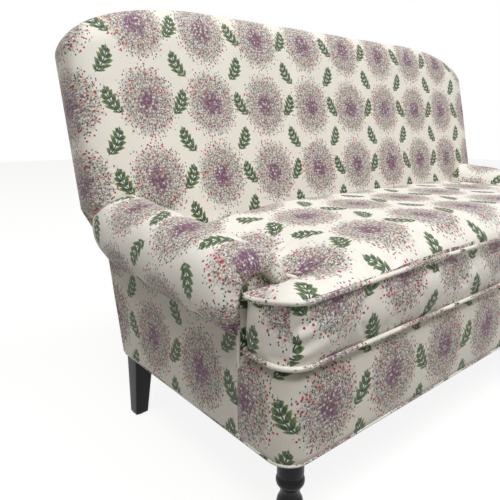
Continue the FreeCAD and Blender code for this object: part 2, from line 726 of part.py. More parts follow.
def arm_covers(back_blank, frame_shapes):
    """Roll, inside arm, outside arm, facing and its piping, on each side."""
    items = []
    clear_roll = roll_solid(size.soft_gap)
    roll = roll_solid().cut(back_space(frame_rear)).cut(frame_pocket()).cut(facing_recess())
    for name, side in SIDES:
        own_frame = [frame_shapes[f"{name}_arm_post"], frame_shapes[f"{name}_arm_top_rail"]]
        shape = mirror_shape(roll, side)
        for tool in own_frame:
            shape = shape.cut(tool)
        items.append(shape_item(f"{name}_arm_roll", shape))
        clear = mirror_shape(clear_roll, side)

        low, high = size.inside_arm_ledge, size.roll_radius / 2
        inside = arm_side_view(facing_front, straps_top, frame_front, -low)
        inner = arm_inside if side > 0 else -arm_inside - size.arm_pad
        pad = plate(f"{name}_inside_arm_pad", "YZ_Plane", inside, "arm_pad", home(inner))
        items.append(cut_by(f"{name}_inside_arm", pad, [clear, back_blank] + own_frame))

        outside = arm_side_view(size.border_wrap, hem_top, frame_rear, -high)
        inner = rail_outside if side > 0 else -half_body
        panel = plate(f"{name}_outside_arm_panel", "YZ_Plane", outside, "side_cover", home(inner))
        items.append(cut_by(f"{name}_outside_arm", panel, [clear, back_blank]))

        facing = mirrored(facing_outline(), side)
        items.append(plate(f"{name}_arm_facing", "XZ_Plane", facing, "facing_thick",
                           home(y=size.post_front)))
        items.append(facing_piping(f"{name}_facing_piping", side))
    return items


def corded(run, radius):
    """An eight-sided cord along a run of lines and arcs."""
    first = run[0].toShape()
    start = first.valueAt(first.FirstParameter)
    along = first.tangentAt(first.FirstParameter)
    across = along.cross(Vector(0, 0, 1)) * radius
    upward = Vector(0, 0, radius)
    angles = [math.radians(45 * turn + 22.5) for turn in range(8)]
    ring = [start + across * math.cos(angle) + upward * math.sin(angle) for angle in angles]
    path = Part.Wire([edge.toShape() for edge in run])
    return path.makePipe(Part.Face(Part.makePolygon(ring + ring[:1])))


def facing_piping(label, side):
    """A cord round the facing: up the outside, over the round top and down the inside."""
    corners = facing_outline(size.piping_radius + size.soft_gap)
    foot_in, foot_out, top_out, top_in = (point for point, radius in corners)
    radius = corners[2][1]
    middle_x = (foot_in.x + foot_out.x) / 2
    spring = top_out.y - radius
    left, right = middle_x - radius, middle_x + radius
    crown = Part.Arc(Vector(right, spring, 0), Vector(middle_x, top_out.y, 0), Vector(left, spring, 0))
    run = [Part.LineSegment(Vector(right, foot_out.y, 0), Vector(right, spring, 0)), crown,
           Part.LineSegment(Vector(left, spring, 0), Vector(left, foot_in.y, 0))]
    upright = Placement(Vector(0, size.post_front - size.facing_thick / 2, 0), Rotation(Vector(1, 0, 0), 90))
    cord = corded(run, size.piping_radius).transformed(home().multiply(upright).toMatrix())
    return shape_item(label, mirror_shape(cord, side))


# Back covers
def back_outline(inset, pad_from):
    """Inside back: wide over the arms, narrower between them, its shoulders and crest at the top."""
    wide = half_back - inset
    narrow = arm_inside - size.deck_play - inset / 2
    wide_from = size.back_wide_from + inset
    low = pad_from + inset / 2
    notch, shoulder = size.back_notch, size.back_shoulder
    return flat((-narrow, low, notch), (narrow, low, notch), (narrow, wide_from, notch),
                (wide, wide_from, shoulder), *crest_corners(inset),
                (-wide, wide_from, shoulder), (-narrow, wide_from, notch))


def back_section(depth, inset):
    upright = Placement(Vector(0, depth, 0), Rotation(Vector(1, 0, 0), 90))
    return outline_wire(back_outline(inset, size.back_pad_from), RAKED.multiply(upright))


def back_solid():
    """The padded back as a loft from its rear edge, over its rounded edge, to its crown."""
    thick = size.back_thick
    stations = [(frame_rear, 0)]
    for angle in (0, math.pi / 4, math.pi / 2):
        depth = -thick + size.back_edge_deep * (1 - math.sin(angle))
        stations.append((depth, size.back_edge_in * (1 - math.cos(angle))))
    stations.append((-thick - size.back_crown, size.back_crown_in))
    sections = [back_section(depth, inset) for depth, inset in stations]
    return Part.makeLoft(sections, True, True)


def back_covers(frame_shapes):
    """Inside back with a pocket for the frame, and the outside back panel that closes it."""
    blank = back_solid()
    shape = blank.cut(frame_pocket())
    for name, side in SIDES:
        shape = shape.cut(mirror_shape(roll_solid(size.soft_gap), side))
        shape = shape.cut(frame_shapes[f"{name}_arm_top_rail"])
    inside = shape_item("inside_back", shape)

    turned_in = 2 * size.deck_play
    wide = half_back - turned_in
    narrow = half_body - turned_in
    foot = hem_top - size.leg_height
    shoulder = size.back_shoulder
    under, beside = roll_slope(narrow), roll_slope(wide)
    outline = flat((-narrow, foot), (narrow, foot), (narrow, under), (wide, beside, shoulder),
                   *crest_corners(turned_in), (-wide, beside, shoulder), (-narrow, under))
    outside = plate("outside_back", "XZ_Plane", outline, "back_panel", RAKED)
    return blank, [inside, outside]


def hem_piping():
    """The cord along the lower edge: both sides and round the front corners."""
    radius = size.hem_radius
    out = half_body - radius
    front = radius
    rear = leaning(size.leg_height, frame_rear) - radius
    corner = size.front_corner - radius
    lean = corner * math.sqrt(0.5)
    run = [Part.LineSegment(Vector(-out, rear, 0), Vector(-out, front + corner, 0))]
    for side in (-1, 1):
        hub = Vector(side * (out - corner), front + corner, 0)
        side_end = hub + Vector(side * corner, 0, 0)
        mid = hub + Vector(side * lean, -lean, 0)
        front_end = hub + Vector(0, -corner, 0)
        if side < 0:
            run.append(Part.Arc(side_end, mid, front_end))
            run.append(Part.LineSegment(front_end, Vector(out - corner, front, 0)))
        else:
            run.append(Part.Arc(front_end, mid, side_end))
            run.append(Part.LineSegment(side_end, Vector(out, rear, 0)))
    cord = corded(run, radius)
    return shape_item("hem_piping", cord.transformed(home(z=hem_top - radius).toMatrix()))


def dust_cover():
    """Cloth stapled under the rails, with room round the legs."""
    edge = size.border_thick / 2
    x = rail_outside - edge
    rear = leaning(size.leg_height, frame_rear) - edge
    cover = box_at(-x, x, size.border_thick + edge, rear, size.leg_height - size.dust_cover, size.leg_height)
    for name, side in SIDES:
        front = leg_axis(side, True) + HOME
        cover = cover.cut(Part.makeCylinder(size.leg_neck + 1, size.leg_height, front))
        axis = leg_axis(side, False)
        half = size.back_leg_top / 2 + 1
        cover = cover.cut(box_at(axis.x - half, axis.x + half, axis.y - half, axis.y + half, 0,
                                 size.leg_height))
    return shape_item("dust_cover", cover)


# Cushion
def tee_corners(inset, rear):
    """Cushion outline from above: a bench between the arms with an ear in front of each.

    A small inset moves the whole outline in evenly; the ears keep more of their depth in a large one.
    """
    wide = half_body - size.ear_inset - inset
    narrow = arm_inside - size.cushion_play - 2 * size.cushion_piping - inset
    front = -size.cushion_overhang + inset
    even = min(inset, size.ear_follow)
    ear_end = size.ear_back - even - size.ear_ease * (inset - even)
    ear_deep = ear_end - front
    front_corner = min(size.cushion_corner - even, 0.6 * ear_deep)
    ear_corner = min(size.ear_corner - even, 0.35 * ear_deep)
    notch = size.ear_notch + even
    rear_corner = size.cushion_rear_corner - even
    return flat((-wide, front, front_corner), (wide, front, front_corner), (wide, ear_end, ear_corner),
                (narrow, ear_end, notch), (narrow, rear, rear_corner), (-narrow, rear, rear_corner),
                (-narrow, ear_end, notch), (-wide, ear_end, ear_corner))


def cushion_rear(height):
    return leaning(height, -size.back_thick - size.back_crown) - 2 * size.cushion_piping - 1


def cushion():
    """Crowned bench cushion with drawn-in sides, and its two pipings."""
    bottom = size.deck_top + size.cushion_gap
    low = bottom + size.cushion_foot
    high = low + size.cushion_boxing
    seam = size.soft_gap
    stations = [(bottom, size.cushion_foot_in), (low, seam),
                (low + size.cushion_boxing / 2, size.cushion_belly), (high, seam)]
    for angle in (math.pi / 6, math.pi / 3, math.pi / 2):
        inset = size.cushion_crown_in * (1 - math.cos(angle))
        stations.append((high + size.cushion_crown * math.sin(angle), inset))
    sections = []
    for height, inset in stations:
        corners = tee_corners(inset, cushion_rear(height) - inset)
        sections.append(outline_wire(corners, home(z=height)))
    pad = shape_item("seat_cushion", Part.makeLoft(sections, True, True))
    return [pad, cushion_cord("cushion_bottom_piping", low), cushion_cord("cushion_top_piping", high)]


def cushion_cord(label, height):
    """Self-covered cord, standing out along the cushion's edge."""
    grow = size.cushion_piping + size.soft_gap
    edges = rounded_edges(tee_corners(-grow, cushion_rear(height) + grow))
    straight = [index for index, edge in enumerate(edges) if isinstance(edge, Part.LineSegment)][0]
    cord = corded(edges[straight:] + edges[:straight], size.cushion_piping)
    return shape_item(label, cord.transformed(home(z=height).toMatrix()))


def checked(items):
    """Stop if a feature failed or a piece has no sound shape."""
    for item in doc.Objects:
        if "Invalid" in item.State or "Error" in item.State:
            raise RuntimeError(f"{item.Label}: {item.State}")
    for item in items:
        shape = item.Shape
        if shape.isNull() or not shape.isValid() or shape.Volume <= 0:
            raise RuntimeError(f"{item.Label}: shape is null, empty or not valid")


def main():
    pieces = seat_frame() + corner_blocks() + arm_frame() + back_frame() + legs() + webbing()
    doc.recompute()
    frame_shapes = {item.Label: item.Shape for item in pieces}
    back_blank, backs = back_covers(frame_shapes)
    pieces += backs + arm_covers(back_blank, frame_shapes) + front_border() + seat_deck()
    pieces += [hem_piping(), dust_cover()] + cushion()
    doc.recompute()
    checked(pieces)
    os.makedirs("parts", exist_ok=True)
    for item in pieces:
        item.Shape.exportStep(f"parts/{item.Label}.step")
        box = item.Shape.BoundBox
        print(f"{item.Label:28s} {item.Shape.Volume / 1e6:9.3f} l  x {box.XMin:8.1f} {box.XMax:8.1f}"
              f"  y {box.YMin:8.1f} {box.YMax:8.1f}  z {box.ZMin:8.1f} {box.ZMax:8.1f}")
    print(len(pieces), "pieces")


main()
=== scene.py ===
# %% [markdown]
# # An English roll arm sofa, dressed in printed linen
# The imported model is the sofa's real construction: beech frame, webbing, legs and plain padded solids.
# Here each soft piece gets the shape and cloth that its solid only stands for. Everything is in metres,
# +Z is up, the sofa faces -Y, and left is -X.

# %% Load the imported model
import math
import bmesh
import bpy
import numpy as np
from mathutils import Matrix


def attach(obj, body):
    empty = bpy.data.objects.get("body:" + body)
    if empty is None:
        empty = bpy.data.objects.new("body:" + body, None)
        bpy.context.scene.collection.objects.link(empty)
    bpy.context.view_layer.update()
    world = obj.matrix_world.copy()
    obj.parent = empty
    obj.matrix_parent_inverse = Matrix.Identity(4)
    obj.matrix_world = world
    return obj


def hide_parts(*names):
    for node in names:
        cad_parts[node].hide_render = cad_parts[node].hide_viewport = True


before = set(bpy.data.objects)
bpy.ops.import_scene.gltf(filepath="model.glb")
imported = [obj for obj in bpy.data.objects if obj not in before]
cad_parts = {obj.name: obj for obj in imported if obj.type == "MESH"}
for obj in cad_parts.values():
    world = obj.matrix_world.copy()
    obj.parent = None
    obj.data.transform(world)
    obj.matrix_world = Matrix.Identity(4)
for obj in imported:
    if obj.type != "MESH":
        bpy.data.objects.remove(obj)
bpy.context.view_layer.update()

# %% [markdown]
# The camera stands low and near the left front corner, about one and a half metres from the arm, which
# is why the far end of the sofa looks so much smaller. Its lens and turn come from the outlines of the
# base and the back.

# %% Camera
def placed(name, data):
    """A new object in the scene, at the origin."""
    thing = bpy.data.objects.new(name, data)
    bpy.context.scene.collection.objects.link(thing)
    return thing


camera_data = bpy.data.cameras.new("camera")
camera_data.sensor_width = 36.0
camera_data.lens = 36.33
camera_data.shift_x = -0.01
camera_data.shift_y = 0.0028
camera = placed("camera", camera_data)
turn = (Matrix.Rotation(math.radians(-40.22), 4, "Z") @ Matrix.Rotation(math.radians(90 - 14.56), 4, "X")
        @ Matrix.Rotation(math.radians(0.28), 4, "Z"))
camera.matrix_world = Matrix.Translation((-1.3325, -0.9194, 0.7505)) @ turn
bpy.context.scene.camera = camera
print("camera at", tuple(round(value, 3) for value in camera.location))

# %% [markdown]
# ## Sizes that the covers share with the frame
# The covers follow the same numbers as the solids. The back leans 13.4 degrees, so it has its own axes:
# across, up its slope, and depth, which is negative towards the front.

# %% Shared sizes
RAKE = math.radians(13.4)
REAR_FOOT = np.array([0.0, 0.2102, 0.170])
UP_SLOPE = np.array([0.0, math.sin(RAKE), math.cos(RAKE)])
INTO_BACK = np.array([0.0, math.cos(RAKE), -math.sin(RAKE)])
FRONT = -0.3998
HALF_BODY = 0.820
HEM = 0.174
BORDER_TOP = 0.348
DECK = 0.350
ROLL_X, ROLL_R = 0.790, 0.088
ARM_FRONT = -0.2758
ARM_FOOT = 0.322
FACING_X, FACING_SPRING, FACING_HALF = 0.789, 0.452, 0.031
SIDES = (("left", -1), ("right", 1))


def on_back(across, slope, depth):
    """Point of the leaning back: its foot, plus each distance along its own axis."""
    return (REAR_FOOT + np.multiply.outer(across, [1.0, 0.0, 0.0])
            + np.multiply.outer(slope, UP_SLOPE) + np.multiply.outer(depth, INTO_BACK))


def back_plane(height, depth):
    """Y of the leaning plane at a depth, at a height above the floor."""
    return REAR_FOOT[1] + (height - REAR_FOOT[2]) * math.tan(RAKE) + depth / math.cos(RAKE)


def roll_middle(y):
    """Height of the arm roll's middle line: it climbs 38 mm over 466 mm towards the back."""
    return 0.447 + 0.038 * (y - FRONT - 0.118) / 0.4659


def roll_lift(y):
    """How much higher the roll's underside lies than a full circle's: 17 mm at the front, 0 at the back."""
    return 0.017 * np.clip((0.25 - y) / 0.53, 0, 1)


def ease(low, high, value):
    """Smooth step: 0 below low, 1 above high, with level ends."""
    share = np.clip((value - low) / (high - low), 0.0, 1.0)
    return share * share * (3.0 - 2.0 * share)


print("roll rises from", round(float(roll_middle(-0.28)), 3), "to", round(float(roll_middle(0.28)), 3))

# %% [markdown]
# ## From arrays to meshes
# Every new shape is a grid of points worked out at once, with a second grid that says where each point
# lies on the flat cloth, in metres. The print reads those cloth places, so motifs keep their size and
# wrap round an edge as sewn cloth does.

# %% Turn grids into pieces
def quilt(points, cloth, ring=False):
    """Quads between neighbours of a (rows, columns) grid; with ring, the last column is the first."""
    rows, columns = points.shape[:2]
    kept = columns - 1 if ring else columns
    number = np.arange(rows * kept).reshape(rows, kept)
    if ring:
        number = np.hstack([number, number[:, :1]])
    spot = np.arange(rows * columns).reshape(rows, columns)
    faces, places = (np.stack([a[:-1, :-1], a[:-1, 1:], a[1:, 1:], a[1:, :-1]], -1).reshape(-1, 4)
                     for a in (number, spot))
    return points[:, :kept].reshape(-1, 3), faces.tolist(), cloth.reshape(-1, 2)[places].reshape(-1, 2)


def lid(points, cloth):
    """One flat face over a closed run of points."""
    return points, [list(range(len(points)))], cloth


def joined(name, patches):
    """One mesh of several patches, not welded yet."""
    starts = np.cumsum([0] + [len(points) for points, faces, cloth in patches])
    points = np.concatenate([points for points, faces, cloth in patches])
    faces = [[corner + start for corner in face]
             for start, (_, group, _) in zip(starts, patches) for face in group]
    mesh = bpy.data.meshes.new(name)
    mesh.from_pydata(points.tolist(), [], faces)
    return mesh


def weld(mesh, sharp):
    """Weld points that meet, turn the faces outwards and smooth all but the sharp edges."""
    work = bmesh.new()
    work.from_mesh(mesh)
    bmesh.ops.remove_doubles(work, verts=work.verts, dist=0.00002)
    bmesh.ops.recalc_face_normals(work, faces=work.faces)
    work.to_mesh(mesh)
    work.free()
    mesh.shade_smooth()
    mesh.set_sharp_from_angle(angle=math.radians(sharp))


def piece(name, patches, finish, stands_for, body="sofa", sharp=50):
    """Join patches into one welded mesh with outward faces and its cloth places, riding on a body."""
    mesh = joined(name, patches)
    places = mesh.uv_layers.new(name="cloth")
    places.data.foreach_set("uv", np.concatenate([cloth for _, _, cloth in patches]).astype(np.float32).ravel())
    weld(mesh, sharp)
    mesh.materials.append(finish)
    thing = placed(name, mesh)
    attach(thing, body)
    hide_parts(*stands_for)
    print(f"{name}: {len(mesh.polygons)} faces")
    return thing


def thicken(thing, name, thickness):
    """Give a one-layer piece the thickness of its cloth, inwards."""
    thing.modifiers.new(name, "SOLIDIFY").thickness = thickness


def rounded_run(corners, closed=True, step=0.012):
    """Points along straight runs and round corners (x, y, radius), in order."""
    count = len(corners)
    middles = [np.array(corner[:2]) for corner in corners]
    run = []
    for index in range(count):
        here, radius = middles[index], corners[index][2]
        if not closed and index in (0, count - 1):
            run.append(here[None])
            continue
        before, after = middles[index - 1] - here, middles[(index + 1) % count] - here
        before, after = before / np.linalg.norm(before), after / np.linalg.norm(after)
        half = math.acos(float(np.clip(before @ after, -1, 1))) / 2
        reach = radius / math.tan(half)
        hub = here + (before + after) / np.linalg.norm(before + after) * radius / math.sin(half)
        first, last = here + before * reach - hub, here + after * reach - hub
        share = np.linspace(0, 1, max(4, int(radius / 0.0045)))[:, None]
        span = math.pi - 2 * half
        run.append(hub + (np.sin((1 - share) * span) * first + np.sin(share * span) * last) / math.sin(span))
    pieces = []
    for index in range(count if closed else count - 1):
        pieces.append(run[index])
        gap = run[(index + 1) % count][0] - run[index][-1]
        parts = int(np.linalg.norm(gap) / step)
        pieces.append(run[index][-1] + gap * np.linspace(0, 1, parts + 2)[1:-1, None])
    pieces.append(run[0][:1] if closed else run[-1])
    return np.concatenate(pieces)


def lengths(line):
    """Distance along a run of points, from its start."""
    return np.concatenate([[0.0], np.cumsum(np.linalg.norm(np.diff(line, axis=0), axis=1))])


def resample(line, count):
    """The same run as count points, evenly spaced."""
    run = lengths(line)
    even = np.linspace(0, 1, count)
    return np.column_stack([np.interp(even, run / run[-1], column) for column in line.T])


def tangents(line, closed):
    """Unit vectors along a run of points."""
    if closed:
        along = np.roll(line[:-1], -1, axis=0) - np.roll(line[:-1], 1, axis=0)
        along = np.vstack([along, along[:1]])
    else:
        along = np.gradient(line, axis=0)
    return along / np.linalg.norm(along, axis=1, keepdims=True)


def normals(line, closed=True):
    """Unit vectors square to a flat run of points, to its right."""
    along = tangents(line, closed)
    return np.stack([along[:, 1], -along[:, 0]], -1)


def cord(line, radius, up, closed=False, sides=12):
    """Self-covered piping: a circle carried along a line. Its strip is cut on the bias, so the cloth
    places are turned 45 degrees: (run + round) and (round - run), each over root 2."""
    along = tangents(line, closed)
    across = np.cross(along, up)
    across /= np.linalg.norm(across, axis=1, keepdims=True)
    above = np.cross(across, along)
    angle = np.linspace(0, 2 * math.pi, sides + 1)
    ring = np.cos(angle)[None, :, None] * across[:, None] + np.sin(angle)[None, :, None] * above[:, None]
    points = line[:, None] + radius * ring
    run = lengths(line)[:, None] + 0 * angle[None]
    wrap = radius * angle[None] + 0 * run
    cloth = np.stack([run + wrap, wrap - run], -1) / math.sqrt(2)
    if closed:
        points[-1] = points[0]
    patches = [quilt(points, cloth, ring=True)]
    if not closed:
        patches += [lid(points[end, :-1], cloth[end, :-1]) for end in (0, -1)]
    return patches


print("helpers ready")

# %% [markdown]
# ## The printed linen
# The cloth is a cream linen with a satin face, printed with round posies of small five-petalled flowers
# and, between them, leafy sprigs. The posies stand on a plain square grid. A Voronoi cell gives each
# flower its own place and turn; its petals are a cosine of the angle round the middle. A sprig is a stem
# with slanting pairs of leaflets, cut out by formulas as well. All of it is one node group that reads
# cloth places in metres, so each piece can place it its own way.

# %% Node helpers
class Wire:
    """An output socket that takes part in sums: each sign between wires or numbers adds a Math node."""

    def __init__(self, maker, socket):
        self.maker, self.socket = maker, socket

    def __add__(self, other):
        return self.maker.math("ADD", self, other)

    def __radd__(self, other):
        return self.maker.math("ADD", other, self)

    def __sub__(self, other):
        return self.maker.math("SUBTRACT", self, other)

    def __rsub__(self, other):
        return self.maker.math("SUBTRACT", other, self)

    def __mul__(self, other):
        return self.maker.math("MULTIPLY", self, other)

    def __rmul__(self, other):
        return self.maker.math("MULTIPLY", other, self)

    def __truediv__(self, other):
        return self.maker.math("DIVIDE", self, other)


class Maker:
    """Short calls that add a node to a tree and hand back its output as a wire."""

    def __init__(self, tree):
        self.tree = tree

    def put(self, value, socket):
        """Link a wire or socket to an input, or write a plain value in it."""
        value = value.socket if isinstance(value, Wire) else value
        if isinstance(value, bpy.types.NodeSocket):
            self.tree.links.new(value, socket)
        else:
            socket.default_value = value

    def add(self, kind, inputs, output=0, **settings):
        node = self.tree.nodes.new(kind)
        for name, value in settings.items():
            setattr(node, name, value)
        for key, value in inputs.items():
            self.put(value, node.inputs[key])
        return Wire(self, node.outputs[output])

    def math(self, operation, first, second=0.0):
        return self.add("ShaderNodeMath", {0: first, 1: second, 2: 0.0}, operation=operation)

    def vector(self, operation, first, second=(0.0, 0.0, 0.0)):
        return self.add("ShaderNodeVectorMath", {0: first, 1: second}, operation=operation)

    def split(self, vector):
        node = self.tree.nodes.new("ShaderNodeSeparateXYZ")
        self.put(vector, node.inputs[0])
        return [Wire(self, socket) for socket in node.outputs]

    def paint(self, share, under, over):
        return self.add("ShaderNodeMix", {0: share, 6: under, 7: over}, 2, data_type="RGBA")

    def step(self, low, high, value):
        """Smooth step between two values; give the larger first for a mask that falls."""
        return self.add("ShaderNodeMapRange", {0: value, 1: low, 2: high, 3: 0.0, 4: 1.0},
                        interpolation_type="SMOOTHSTEP")

    def noise(self, vector, scale, detail=2.0):
        return self.add("ShaderNodeTexNoise", {"Vector": vector, "Scale": scale, "Detail": detail})


def group(name, inputs, outputs):
    """An empty node group: its maker, its input sockets by name and its output node."""
    tree = bpy.data.node_groups.new(name, "ShaderNodeTree")
    kinds = {"color": "NodeSocketColor", "value": "NodeSocketFloat", "vector": "NodeSocketVector"}
    for title, kind in inputs:
        tree.interface.new_socket(title, in_out="INPUT", socket_type=kinds[kind])
    for title, kind in outputs:
        tree.interface.new_socket(title, in_out="OUTPUT", socket_type=kinds[kind])
    source = tree.nodes.new("NodeGroupInput")
    sink = tree.nodes.new("NodeGroupOutput")
    return Maker(tree), {title: source.outputs[title] for title, kind in inputs}, sink


def use(maker, tree, **inputs):
    """Place a node group in a material and hand back the node."""
    node = maker.tree.nodes.new("ShaderNodeGroup")
    node.node_tree = tree
    for title, value in inputs.items():
        maker.put(value, node.inputs[title])
    return node


def rgb(red, green, blue):
    """A colour as it looks on screen, 0 to 255, turned into the linear values that shaders use."""
    shares = [value / 255 for value in (red, green, blue)]
    return tuple(s / 12.92 if s <= 0.04045 else ((s + 0.055) / 1.055) ** 2.4 for s in shares) + (1.0,)


print("node helpers ready")

# %% The posy and sprig print
PITCH = 0.192


def cells(m, place, scale, shift):
    """Voronoi cells, scale to the metre: place from the cell's middle, distance, and three chances."""
    moved = m.vector("ADD", place, (shift, shift, 0.0))
    cell = m.tree.nodes.new("ShaderNodeTexVoronoi")
    cell.voronoi_dimensions = "2D"
    cell.inputs["Scale"].default_value = scale
    cell.inputs["Randomness"].default_value = 0.85
    m.put(moved, cell.inputs["Vector"])
    here, middle = (m.vector("MULTIPLY", spot, (scale, scale, 0.0)) for spot in (moved, cell.outputs["Position"]))
    x, y, _ = m.split(m.vector("SUBTRACT", here, middle))
    return x, y, m.math("SQRT", x * x + y * y), m.split(cell.outputs["Color"])


def posies(m, place, x, y, ragged, colour):
    """Lace, a purple heart, stalks, five-petalled flowers and, near the rim, berries and leaf bits."""
    px = (m.math("FRACT", x / PITCH) - 0.5) * PITCH
    py = (m.math("FRACT", y / PITCH) - 0.5) * PITCH
    out = m.math("SQRT", px * px + py * py * 0.8)
    rough = out + (ragged - 0.5) * 0.030
    lace = m.step(0.076, 0.056, rough) * m.step(0.36, 0.54, m.noise(place, 330.0))
    colour = m.paint(lace * 0.85, colour, rgb(104, 86, 86))
    heart = m.step(0.044, 0.012, rough) * m.step(0.34, 0.55, m.noise(place, 120.0, 3.0))
    colour = m.paint(heart * 0.90, colour, rgb(98, 46, 88))
    stalk = m.step(0.86, 0.97, m.math("COSINE", m.math("ARCTAN2", py, px) * 26.0 + ragged * 9.0))
    reach = m.step(0.030, 0.042, out) * m.step(0.082, 0.072, rough)
    colour = m.paint(stalk * reach * 0.75, colour, rgb(88, 96, 88))
    # flowers: the petals' edge is a cosine of five turns
    ax, ay, far, (chance, second, third) = cells(m, place, 118.0, 0.0)
    turned = m.math("ARCTAN2", ay, ax) + second * 6.28
    beyond = far - (0.27 + m.math("COSINE", turned * 5.0) * 0.12)
    there = m.math("GREATER_THAN", m.step(0.084, 0.064, rough), chance)
    mauve = m.math("GREATER_THAN", m.step(0.046, 0.014, rough) * 0.80, second)
    petals = m.paint(mauve, rgb(236, 232, 226), rgb(120, 62, 112))
    colour = m.paint(m.step(0.11, 0.02, beyond) * there * 0.70, colour, rgb(74, 60, 64))
    colour = m.paint(m.step(0.03, -0.02, beyond) * there, colour, petals)
    eye = m.step(0.19, 0.13, far) * there * m.math("GREATER_THAN", third, 0.70)
    colour = m.paint(eye, colour, rgb(218, 176, 52))
    # berries and leaf bits: another set of cells, kept to a ring
    ax, ay, far, (chance, _, _) = cells(m, place, 128.0, 7.3)
    rim = m.step(0.024, 0.062, rough) * m.step(0.092, 0.078, rough)
    berry = m.step(0.33, 0.27, far) * m.math("GREATER_THAN", rim * 0.22, chance)
    colour = m.paint(berry, colour, rgb(192, 24, 66))
    narrow = m.step(0.34, 0.26, far + m.math("ABSOLUTE", ax) * 0.6)
    return m.paint(narrow * m.math("GREATER_THAN", rim * 0.46, 1.0 - chance), colour, rgb(30, 62, 54))


def sprigs(m, place, x, y, ragged, colour):
    """Half a square to the side of the posies, two to a square, each the mirror of its neighbour: a
    bent stem with slanting pairs of leaflets inside an ellipse."""
    column, row = x / PITCH + 0.5, y / PITCH * 2.0 + 0.5
    odd = m.math("FLOORED_MODULO", m.math("FLOOR", column) + m.math("FLOOR", row), 2.0)
    lx = (m.math("FRACT", column) - 0.5) * PITCH * (1.0 - odd * 2.0)
    ly = (m.math("FRACT", row) - 0.5) * (PITCH / 2)
    up = lx * 0.47 + ly * 0.88
    side = m.math("ABSOLUTE", lx * 0.88 - ly * 0.47 + up * up * 6.0)
    along = up / 0.034
    share = side / (0.022 * m.math("SQRT", m.math("MAXIMUM", 1.0 - along * along, 0.0001)))
    beat = m.math("FRACT", (up - side * 0.8) / 0.0145)
    blade = 0.50 * m.math("SINE", 3.1416 * m.math("POWER", m.math("MINIMUM", share, 1.0), 0.8))
    blade = blade + (ragged - 0.5) * 0.22
    leaf = m.step(0.05, -0.05, m.math("ABSOLUTE", beat - 0.5) - blade) * m.step(1.0, 0.94, share)
    stem = m.step(0.0019, 0.0011, side) * m.step(1.12, 1.04, m.math("ABSOLUTE", along))
    green = m.paint(m.step(0.38, 0.62, m.noise(place, 160.0)), rgb(30, 56, 40), rgb(90, 116, 74))
    green = m.paint(m.step(0.50, 0.95, share) * 0.80, green, rgb(156, 168, 104))
    green = m.paint(m.step(0.30, 0.0, share) * 0.6, green, rgb(30, 56, 44))
    return m.paint(m.math("MAXIMUM", leaf, stem), colour, green)


def posy_print():
    """Posies on a square grid of 192 mm, sprigs in the columns between them, mirrored in turn."""
    m, given, sink = group("posy_print", [("Place", "vector"), ("Ground", "color")], [("Color", "color")])
    place = given["Place"]
    x, y, _ = m.split(place)
    ragged = m.noise(place, 95.0, 3.0)
    colour = posies(m, place, x, y, ragged, given["Ground"])
    m.put(sprigs(m, place, x, y, ragged, colour), sink.inputs["Color"])
    return m.tree


def linen_weave():
    """Threads a little over a millimetre apart both ways, with slubs drawn out along each thread.
    Height is for a Bump node, Shade multiplies the colour."""
    m, given, sink = group("linen_weave", [("Place", "vector")], [("Height", "value"), ("Shade", "value")])
    place = given["Place"]
    x, y, _ = m.split(place)
    turn_rate = 2 * math.pi / 0.0013
    warp, weft = m.math("SINE", x * turn_rate), m.math("SINE", y * turn_rate)
    slub = (m.noise(m.vector("MULTIPLY", place, (70.0, 900.0, 1.0)), 1.0)
            + m.noise(m.vector("MULTIPLY", place, (900.0, 70.0, 1.0)), 1.0))
    m.put(warp * weft * 0.35 + slub, sink.inputs["Height"])
    m.put(0.93 + slub * 0.07, sink.inputs["Shade"])
    return m.tree


PRINT = posy_print()
WEAVE = linen_weave()
print("print group has", len(PRINT.nodes), "nodes")

# %% [markdown]
# ## Finishes
# Each finish is a material whose Principled shader stays in the material itself. Even values, such as
# sheen and coat, sit on its own sockets.

# %% Cloth and hard finishes
def new_finish(name, rough, **sockets):
    """A material with a Principled shader; sockets sets its even values by name."""
    material = bpy.data.materials.new(name)
    material.use_nodes = True
    shader = material.node_tree.nodes["Principled BSDF"]
    shader.inputs["Roughness"].default_value = rough
    for title, value in sockets.items():
        shader.inputs[title.replace("_", " ")].default_value = value
    return material, Maker(material.node_tree), shader


def paled(colour, share):
    """The same colour, darker by a share."""
    return rgb(*(round(value * share) for value in colour))


def bump(m, shader, height, strength, distance):
    normal = m.add("ShaderNodeBump", {"Height": height, "Strength": strength, "Distance": distance})
    m.put(normal, shader.inputs["Normal"])


def printed(name, shift=(0.0, 0.0), ground=(246, 243, 235)):
    """Printed linen: the print on its ground, shaded by the weave, with a soft satin sheen. The shift
    moves the cloth places, so that a motif falls where the cutter put it."""
    material, m, shader = new_finish(name, 0.62, Sheen_Weight=0.12, Sheen_Roughness=0.4)
    place = m.vector("ADD", m.add("ShaderNodeUVMap", {}, uv_map="cloth"), (*shift, 0.0))
    weave = use(m, WEAVE, Place=place)
    # the ground is the cloth's cream; where a copy's ground is darker than the seat's 246, 243, 235, that
    # difference is painted shade
    base = m.paint(m.step(0.35, 0.75, m.noise(place, 9.0)) * 0.35, rgb(*ground), paled(ground, 0.955))
    art = use(m, PRINT, Place=place, Ground=base)
    shaded = m.add("ShaderNodeVectorMath", {0: art.outputs["Color"], "Scale": weave.outputs["Shade"]},
                   operation="SCALE")
    m.put(shaded, shader.inputs["Base Color"])
    bump(m, shader, weave.outputs["Height"], 0.25, 0.0004)
    return material


def object_place(m):
    """Object coordinates, in metres."""
    return m.add("ShaderNodeTexCoord", {}, "Object")


